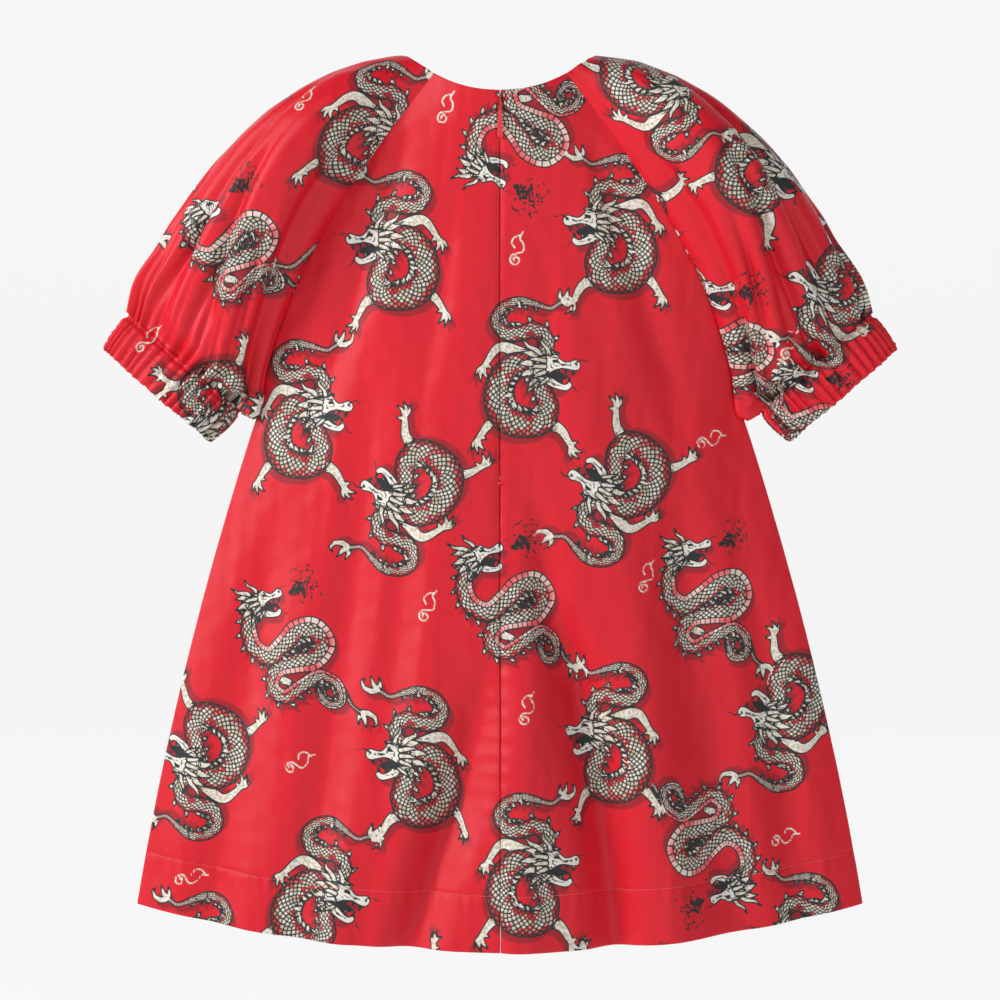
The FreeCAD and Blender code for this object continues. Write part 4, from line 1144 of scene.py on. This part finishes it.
hemLines = []
for side in (1, -1):
    a = np.linspace(0.004, 0.992, 420)
    hemLines.append(stitches(*lineOn(backHalf(side), a, stitchPlace(a, True), -side)))
u = np.linspace(-0.992, 0.992, 800)
hemLines.append(stitches(*lineOn(frontWhole, u, stitchPlace(u, False), 1.0)))
threads = [stitchMesh("hemStitches", hemLines, "hem_thread")]
for name, side in (("right", 1), ("left", -1)):
    q = np.linspace(0.015, 0.985, 1500)
    line = lineOn(sleeveSurfaces[name], q, q * 0 + gather["stitchAt"], -side)
    threads.append(stitchMesh("cuffStitches" + name.capitalize(), [stitches(*line)], "cuff_thread_" + name))

# The bar tack: stitches laid side by side across the seam, below the zip's end.
tack = {"drop": 300.0, "width": 5.0, "height": 1.5, "count": 7}
tackLines = []
for z in np.linspace(-0.5, 0.5, tack["count"]) * tack["height"] - tack["drop"]:
    x = np.linspace(-0.5, 0.5, 12) * tack["width"]
    path = np.stack([x, x * 0 - dress["neckDepth"] - panel["proud"] - 0.1, x * 0 + z], axis=-1)
    tackLines.append(stitches(path, np.tile([0.0, -1.0, 0.0], (12, 1)), 1.15))
threads.append(stitchMesh("zipBarTack", tackLines, "zip_bar_tack"))
print("stitches made")


# The zip's coils: each is a thread wound as a flattened helix: x = rx cos(turn), y = ry sin(turn).
coil = {"pitch": 1.35, "thread": 0.27, "steps": 14, "sides": 6, "reach": 1.05}


def makeCoil(name, side):
    low, high = nodeBox("zip_coil_" + name)
    centre, half = (low + high) / 2, (high - low) / 2
    count = int((high[2] - low[2]) / coil["pitch"] - 1) * coil["steps"]
    turn = np.arange(count) * 2 * math.pi / coil["steps"]
    rx, ry = half[0] - coil["thread"], half[1] - coil["thread"]
    # each turn leans on the tape side, and its head reaches between two turns of the other coil
    inward = np.sign(np.cos(turn)) * np.abs(np.cos(turn)) ** 0.8
    x = centre[0] - side * (rx * inward + coil["reach"] * np.clip(inward, 0, 1))
    y = centre[1] + ry * np.sin(turn)
    z = high[2] - 0.3 - (np.arange(count) / coil["steps"] + (0.5 if side > 0 else 0.0)) * coil["pitch"]
    path = np.stack([x, y, z], axis=-1)
    ahead = unit(np.gradient(path, axis=0))
    aside = unit(np.cross(ahead, [0.0, 0.0, 1.0]))
    up = np.cross(aside, ahead)
    ring = np.linspace(0, 2 * math.pi, coil["sides"], endpoint=False)
    thickness = np.cos(ring)[:, None] * aside[:, None] + np.sin(ring)[:, None] * up[:, None]
    points = path[:, None] + coil["thread"] * thickness
    piece = gridMesh("zipCoil" + name.capitalize(), points[:, ::-1], closedRows=True)
    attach(piece, "dress")
    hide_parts("zip_coil_" + name)
    return piece


coils = [makeCoil("right", 1), makeCoil("left", -1)]


# The care label: a blank satin strip with folded ends, curving a little away from the lining.
label = {"curl": 1.6, "fold": 5.0, "rows": 60, "columns": 40, "radius": 0.3}


def makeLabel():
    low, high = nodeBox("care_label")
    size = high - low

    def surface(a, b):
        x, z = mix(low[0], high[0], a), mix(high[2], low[2], b)
        y = label["curl"] * np.sin(math.pi * (0.8 * a + 0.3 * b)) + 0.35 * np.sin(9 * b + 4 * a) * a
        return np.stack([x, y, z], axis=-1)
    across = withTurns(np.linspace(0, 1, label["columns"]), size[0], None, (label["radius"], label["fold"]))
    down = withTurns(np.linspace(0, 1, label["rows"]), size[2])
    cut = plainCut(surface, across, down)
    piece, cut = cloth("careLabel", surface, across, down, 1.0, cut)
    sewn(piece, ["care_label"], cut)
    return piece


careLabel = makeLabel()
print("zip coils and label made")


# Materials. A graph is worked out with small functions that each add one node.
def startMaterial(name, roughness, specular=0.5, sheen=0.0, sheenTint=(1, 1, 1), metallic=0.0):
    material = bpy.data.materials.new(name)
    material.use_nodes = True
    tree = material.node_tree
    shader = tree.nodes["Principled BSDF"]
    shader.inputs["Roughness"].default_value = roughness
    shader.inputs["Specular IOR Level"].default_value = specular
    shader.inputs["Metallic"].default_value = metallic
    shader.inputs["Sheen Weight"].default_value = sheen
    shader.inputs["Sheen Roughness"].default_value = 0.35
    shader.inputs["Sheen Tint"].default_value = (*sheenTint, 1)
    return material, tree, shader


def plug(tree, socket, value):
    if isinstance(value, bpy.types.NodeSocket):
        tree.links.new(value, socket)
    elif hasattr(value, "__len__") and len(value) == 3 and len(socket.default_value) == 4:
        socket.default_value = (*value, 1)
    else:
        socket.default_value = value


def calc(tree, operation, *values):
    node = tree.nodes.new("ShaderNodeMath")
    node.operation = operation
    for socket, value in zip(node.inputs, values):
        plug(tree, socket, value)
    return node.outputs[0]


def band(tree, value, low, high, start=0.0, end=1.0):  # smoothly from start at low to end at high
    node = tree.nodes.new("ShaderNodeMapRange")
    node.interpolation_type = "SMOOTHSTEP"
    for socket, given in zip(node.inputs, (value, low, high, start, end)):
        plug(tree, socket, given)
    return node.outputs[0]


def blendColour(tree, share, first, second):
    node = tree.nodes.new("ShaderNodeMix")
    node.data_type = "RGBA"
    node.blend_type = "MIX"
    plug(tree, node.inputs[0], share)
    plug(tree, node.inputs[6], first)
    plug(tree, node.inputs[7], second)
    return node.outputs[2]


def readVector(tree, name):         # an attribute's three numbers
    attribute = tree.nodes.new("ShaderNodeAttribute")
    attribute.attribute_name = name
    return attribute.outputs["Vector"]


def split(tree, vector):
    node = tree.nodes.new("ShaderNodeSeparateXYZ")
    tree.links.new(vector, node.inputs[0])
    return node.outputs[0], node.outputs[1], node.outputs[2]


def joined(tree, x, y, z=0.0):
    node = tree.nodes.new("ShaderNodeCombineXYZ")
    for socket, value in zip(node.inputs, (x, y, z)):
        plug(tree, socket, value)
    return node.outputs[0]


def stretched(tree, vector, scale):
    node = tree.nodes.new("ShaderNodeMapping")
    tree.links.new(vector, node.inputs["Vector"])
    node.inputs["Scale"].default_value = scale
    return node.outputs[0]


def noise(tree, vector, scale, detail=3.0, rough=0.5):
    node = tree.nodes.new("ShaderNodeTexNoise")
    tree.links.new(vector, node.inputs["Vector"])
    node.inputs["Scale"].default_value = scale
    node.inputs["Detail"].default_value = detail
    node.inputs["Roughness"].default_value = rough
    return node.outputs["Fac"]


def cells(tree, vector, feature, randomness):
    node = tree.nodes.new("ShaderNodeTexVoronoi")
    node.voronoi_dimensions = "2D"
    node.feature = feature
    tree.links.new(vector, node.inputs["Vector"])
    node.inputs["Scale"].default_value = 1.0
    node.inputs["Randomness"].default_value = randomness
    return node


def objectPlace(tree):
    return tree.nodes.new("ShaderNodeTexCoord").outputs["Object"]


def emboss(tree, shader, height, distance, strength=1.0):
    node = tree.nodes.new("ShaderNodeBump")
    node.inputs["Distance"].default_value = distance
    node.inputs["Strength"].default_value = strength
    tree.links.new(height, node.inputs["Height"])
    tree.links.new(node.outputs[0], shader.inputs["Normal"])


def weave(tree, s, t, pitch, twill=1.0):
    # over-and-under threads: a sine across the warp times a sine across the weft, stepped for a twill
    k = 2 * math.pi / pitch
    warp = calc(tree, "SINE", calc(tree, "MULTIPLY", s, k))
    leaned = calc(tree, "ADD", calc(tree, "MULTIPLY", t, k), calc(tree, "MULTIPLY", s, k * twill))
    weft = calc(tree, "SINE", leaned)
    return calc(tree, "ADD", calc(tree, "MULTIPLY", warp, 0.5), calc(tree, "MULTIPLY", weft, 0.5))


colours = {                         # linear colours
    "red": (0.640, 0.0045, 0.017), "redLight": (0.690, 0.007, 0.021), "shade": (0.235, 0.010, 0.018),
    "white": (0.80, 0.76, 0.70), "cream": (0.56, 0.48, 0.34), "ink": (0.017, 0.020, 0.022),
    "plate": (0.80, 0.66, 0.58), "pink": (0.80, 0.10, 0.12),
    "lining": (0.50, 0.016, 0.028), "tape": (0.40, 0.010, 0.018), "enamel": (0.74, 0.050, 0.062),
    "elastic": (0.74, 0.70, 0.64), "label": (0.80, 0.78, 0.74), "steel": (0.46, 0.45, 0.44),
}
printed = {
    "line": 0.46, "nearEnough": 1.15, "soft": 0.20, "scaleLength": 4.1, "scaleRows": 2.1, "scaleLine": 0.120,
    "plateLength": 3.5, "plateLine": 0.34, "shadow": 0.80,
}


def printedCloth():
    material, tree, shader = startMaterial("printedSateen", 0.40, 0.34, 0.08, (1.0, 0.30, 0.32))
    cutPlace = readVector(tree, "cut")
    s, t, rest = split(tree, cutPlace)
    edge, nearEdge, marks = split(tree, readVector(tree, "printLines"))
    figure, shadow, cream = split(tree, readVector(tree, "printFills"))
    scales, belly, rest = split(tree, readVector(tree, "printTones"))
    along, across, rest = split(tree, readVector(tree, "printScales"))
    soft = printed["soft"]

    def inside(value, at=0.0):
        return band(tree, value, at + soft, at - soft)

    # the cloth: slightly uneven dye and painted sheen, as lighter and darker long streaks down the warp
    streaks = noise(tree, stretched(tree, cutPlace, (0.11, 0.006, 1)), 1.0, 4.0)
    fine = noise(tree, stretched(tree, cutPlace, (1.9, 0.07, 1)), 1.0, 2.0)
    dyeAndSheen = calc(tree, "ADD", calc(tree, "MULTIPLY", streaks, 0.65), calc(tree, "MULTIPLY", fine, 0.35))
    red = blendColour(tree, band(tree, dyeAndSheen, 0.32, 0.68), colours["red"], colours["redLight"])
    speck = noise(tree, stretched(tree, cutPlace, (1.1, 1.1, 1)), 1.0, 2.0)
    shadowShare = calc(tree, "MULTIPLY", band(tree, shadow, 0.9, -0.9),
                       band(tree, speck, 0.2, 0.62, 0.62, printed["shadow"]))
    ground = blendColour(tree, shadowShare, red, colours["shade"])

    # scales: diamonds on the body's own two directions, lightest along its middle, red and ink at its edges
    p = calc(tree, "DIVIDE", along, printed["scaleLength"])
    r = calc(tree, "MULTIPLY", across, printed["scaleRows"])
    diamonds = joined(tree, calc(tree, "ADD", p, r), calc(tree, "SUBTRACT", p, r))
    each = cells(tree, diamonds, "F1", 0.3)
    gap = cells(tree, diamonds, "DISTANCE_TO_EDGE", 0.3).outputs["Distance"]
    chance, other, rest = split(tree, each.outputs["Color"])
    patchPlace = joined(tree, calc(tree, "MULTIPLY", along, 0.055), calc(tree, "MULTIPLY", across, 0.35))
    patches = noise(tree, patchPlace, 1.0, 1.0)
    offCentre = calc(tree, "ABSOLUTE", calc(tree, "SUBTRACT", across, 0.12))
    light = calc(tree, "SUBTRACT", calc(tree, "MULTIPLY", patches, 1.1),
                 calc(tree, "MULTIPLY", offCentre, 0.62))
    light = calc(tree, "ADD", light, calc(tree, "MULTIPLY", chance, 0.30))
    pale = blendColour(tree, other, colours["white"], colours["cream"])
    pale = blendColour(tree, band(tree, each.outputs["Distance"], 0.24, 0.56, 0.0, 0.72), pale,
                       colours["ink"])
    glint = band(tree, each.outputs["Distance"], 0.34, 0.16, 0.0, 0.55)
    dim = blendColour(tree, calc(tree, "MULTIPLY", glint, chance), colours["red"], colours["cream"])
    dim = blendColour(tree, band(tree, offCentre, 0.55, 1.05, 0.0, 0.75), dim, colours["ink"])
    scaled = blendColour(tree, band(tree, light, 0.28, 0.44), dim, pale)
    scaleLines = band(tree, gap, printed["scaleLine"] + 0.06, printed["scaleLine"] - 0.03)
    scaled = blendColour(tree, scaleLines, scaled, colours["ink"])

    # belly plates between lines across the body
    bars = calc(tree, "PINGPONG", along, printed["plateLength"] / 2)
    plates = blendColour(tree, band(tree, patches, 0.40, 0.62), colours["pink"], colours["plate"])
    plateLines = band(tree, bars, printed["plateLine"] + 0.15, printed["plateLine"] - 0.15)
    plates = blendColour(tree, plateLines, plates, colours["ink"])

    dapple = noise(tree, stretched(tree, cutPlace, (0.42, 0.42, 1)), 1.0, 2.0)
    limbs = blendColour(tree, band(tree, dapple, 0.36, 0.60), colours["cream"], colours["white"])
    limbs = blendColour(tree, band(tree, dapple, 0.64, 0.72, 0.0, 0.6), limbs, colours["pink"])
    head = blendColour(tree, band(tree, dapple, 0.58, 0.72, 0.0, 0.75), colours["white"], colours["cream"])
    colour = blendColour(tree, inside(figure), ground, head)
    colour = blendColour(tree, inside(cream), colour, limbs)
    colour = blendColour(tree, inside(scales), colour, scaled)
    colour = blendColour(tree, inside(belly), colour, plates)

    line = printed["line"]
    outline = calc(tree, "MULTIPLY", inside(calc(tree, "ABSOLUTE", edge), line),
                   band(tree, nearEdge, printed["nearEnough"] + 0.2, printed["nearEnough"]))
    bellyLine = calc(tree, "MULTIPLY", inside(calc(tree, "ABSOLUTE", belly), line * 0.7), inside(scales))
    ink = calc(tree, "MAXIMUM", calc(tree, "MAXIMUM", outline, bellyLine), inside(marks, 0.08))
    colour = blendColour(tree, ink, colour, colours["ink"])
    tree.links.new(colour, shader.inputs["Base Color"])
    covered = calc(tree, "MAXIMUM", inside(figure), ink)
    tree.links.new(band(tree, covered, 0.0, 1.0, 0.40, 0.54), shader.inputs["Roughness"])
    slub = noise(tree, stretched(tree, cutPlace, (2.4, 0.25, 1)), 1.0, 2.0)
    threadHeight = calc(tree, "ADD", calc(tree, "MULTIPLY", weave(tree, s, t, 0.36), 0.5), slub)
    emboss(tree, shader, threadHeight, 0.00005)
    return material


def plainCloth(name, colour, other, pitch, roughness, sheen=0.15, bumpHeight=0.00006):
    # a plain dyed cloth on the cut's own coordinates
    material, tree, shader = startMaterial(name, roughness, 0.4, sheen)
    cutPlace = readVector(tree, "cut")
    s, t, rest = split(tree, cutPlace)
    # long streaks down the warp: uneven dye and painted sheen, blended into the base colour
    streaks = noise(tree, stretched(tree, cutPlace, (0.4, 0.02, 1)), 1.0, 3.0)
    dyedWithSheen = blendColour(tree, band(tree, streaks, 0.3, 0.7), colour, other)
    tree.links.new(dyedWithSheen, shader.inputs["Base Color"])
    emboss(tree, shader, weave(tree, s, t, pitch, 0.0), bumpHeight)
    return material


def threadMaterial(name, dark, light):
    material, tree, shader = startMaterial(name, 0.46, 0.4, 0.2)
    place = objectPlace(tree)
    uneven = noise(tree, place, 900.0, 2.0)
    tree.links.new(blendColour(tree, uneven, dark, light), shader.inputs["Base Color"])
    emboss(tree, shader, noise(tree, place, 6000.0, 1.0), 0.00006)
    return material


def tapeMaterial():
    material, tree, shader = startMaterial("zipTapeWeave", 0.72, 0.3, 0.2)
    place = stretched(tree, objectPlace(tree), (1000, 1000, 1000))
    x, y, z = split(tree, place)
    uneven = noise(tree, stretched(tree, place, (0.6, 0.6, 0.08)), 1.0, 3.0)
    tree.links.new(blendColour(tree, uneven, colours["tape"], colours["lining"]), shader.inputs["Base Color"])
    herring = weave(tree, x, calc(tree, "ADD", z, calc(tree, "PINGPONG", x, 1.4)), 0.5, 0.0)
    emboss(tree, shader, herring, 0.00012)
    return material


def enamelMaterial():
    # fired red enamel over metal: a clear coat, faint mottling and a little uneven gloss
    material, tree, shader = startMaterial("zipEnamel", 0.26, 0.6)
    shader.inputs["Coat Weight"].default_value = 0.6
    shader.inputs["Coat Roughness"].default_value = 0.12
    place = objectPlace(tree)
    mottle = noise(tree, place, 800.0, 3.0)
    tree.links.new(blendColour(tree, mottle, colours["enamel"], colours["red"]), shader.inputs["Base Color"])
    tree.links.new(band(tree, noise(tree, place, 1600.0, 2.0), 0.3, 0.7, 0.28, 0.42),
                   shader.inputs["Roughness"])
    emboss(tree, shader, noise(tree, place, 2500.0, 2.0), 0.00003)
    return material


def metalMaterial():
    material, tree, shader = startMaterial("zipStopMetal", 0.36, 0.5, metallic=1.0)
    place = objectPlace(tree)
    scuff = noise(tree, stretched(tree, place, (900, 900, 3000)), 1.0, 3.0)
    tree.links.new(blendColour(tree, scuff, colours["steel"], (0.62, 0.61, 0.60)),
                   shader.inputs["Base Color"])
    tree.links.new(band(tree, scuff, 0.3, 0.7, 0.28, 0.46), shader.inputs["Roughness"])
    return material


def coilMaterial():
    material, tree, shader = startMaterial("zipCoilNylon", 0.38, 0.5)
    place = objectPlace(tree)
    tree.links.new(blendColour(tree, noise(tree, place, 1200.0, 2.0), colours["tape"], colours["enamel"]),
                   shader.inputs["Base Color"])
    emboss(tree, shader, noise(tree, place, 3500.0, 1.0), 0.00004)
    return material


def dressIn(pieces, material):
    for piece in pieces:
        piece.data.materials.clear()
        piece.data.materials.append(material)


def repaint(names, material):       # a CAD node keeps its mesh and takes the material in every slot
    for name in names:
        for place in frame["nodes"][name].material_slots:
            place.material = material


objects = bpy.data.objects
printedPieces = ("backPanelLeft", "backPanelRight", "frontPanel", "sleeveLeft", "sleeveRight")
dressIn([objects[name] for name in printedPieces], printedCloth())
dressIn(facings, plainCloth("facingCloth", colours["red"], colours["redLight"], 0.36, 0.44, 0.2))
dressIn(linings, plainCloth("liningTaffeta", colours["lining"], colours["red"], 0.3, 0.34, 0.1))
dressIn(elastics,
        plainCloth("braidedElastic", colours["elastic"], (0.82, 0.79, 0.74), 0.9, 0.75, 0.1, 0.0002))
dressIn([careLabel], plainCloth("labelSatin", colours["label"], (0.86, 0.85, 0.82), 0.3, 0.32, 0.1))
dressIn(threads[:1], threadMaterial("hemThread", (0.72, 0.07, 0.09), (0.84, 0.16, 0.17)))
dressIn(threads[1:], threadMaterial("redThread", colours["red"], (0.72, 0.05, 0.07)))
dressIn(coils, coilMaterial())
repaint(["zip_tape_left", "zip_tape_right"], tapeMaterial())
repaint(["zip_slider", "zip_puller"], enamelMaterial())
repaint(["zip_top_stops", "zip_bottom_stop"], metalMaterial())
print("materials made")


# The stage: one pale sweep that is floor in front and backdrop behind, two soft lamps and an even sky.
studio = {
    "floor": -0.92, "back": 6.0, "front": -18.0, "half": 14.0, "bend": 1.6, "top": 6.0, "pale": 0.14,
    "glow": 0.84,
    "sky": 0.17, "lampTarget": (0, 0, -0.3),
}
lamps = {
    "keyLamp": {"place": (-2.3, -1.25, 1.0), "size": 0.8, "power": 71},
    "fillLamp": {"place": (1.2, -2.6, 0.5), "size": 1.8, "power": 18},
}


def makeSweep():
    turn = np.linspace(0, math.pi / 2, 40)
    r = studio["bend"]
    y = np.concatenate([[studio["front"]], studio["back"] - r + r * np.sin(turn), [studio["back"]]])
    z = np.concatenate([[studio["floor"]], studio["floor"] + r - r * np.cos(turn), [studio["top"]]])
    x = np.array([-studio["half"], studio["half"]])
    points = np.stack(np.broadcast_arrays(x[None, :], y[:, None], z[:, None]), axis=-1) / metre
    sweep = gridMesh("sweep", points)
    material, tree, shader = startMaterial("palePaper", 0.9, 0.1)
    paper = noise(tree, objectPlace(tree), 3.0, 2.0)
    pale = studio["pale"]
    colour = blendColour(tree, paper, (pale, pale, pale), (pale * 1.01, pale * 1.01, pale * 1.01))
    tree.links.new(colour, shader.inputs["Base Color"])
    shader.inputs["Emission Color"].default_value = (1, 1, 1, 1)
    shader.inputs["Emission Strength"].default_value = studio["glow"]
    dressIn([sweep], material)


def makeLamp(name, place, size, power):
    lamp = bpy.data.objects.new(name, bpy.data.lights.new(name, "AREA"))
    lamp.data.size = size
    lamp.data.energy = power
    lamp.location = place
    aim = Vector(studio["lampTarget"]) - Vector(place)
    lamp.rotation_euler = aim.to_track_quat("-Z", "Y").to_euler()
    bpy.context.scene.collection.objects.link(lamp)


makeSweep()
for name, settings in lamps.items():
    makeLamp(name, **settings)
world = bpy.data.worlds.new("studio")
world.use_nodes = True
world.node_tree.nodes["Background"].inputs[0].default_value = (1, 1, 1, 1)
world.node_tree.nodes["Background"].inputs[1].default_value = studio["sky"]
bpy.context.scene.world = world
bpy.context.scene.view_settings.view_transform = "Standard"

view = {"lens": 100.0, "distance": 1.956, "height": -0.3115}
camera = bpy.data.objects.new("camera", bpy.data.cameras.new("camera"))
camera.data.lens = view["lens"]
camera.location = (0, -view["distance"], view["height"])
camera.rotation_euler = (math.radians(90), 0, 0)
bpy.context.scene.collection.objects.link(camera)
bpy.context.scene.camera = camera
print("stage and camera made")
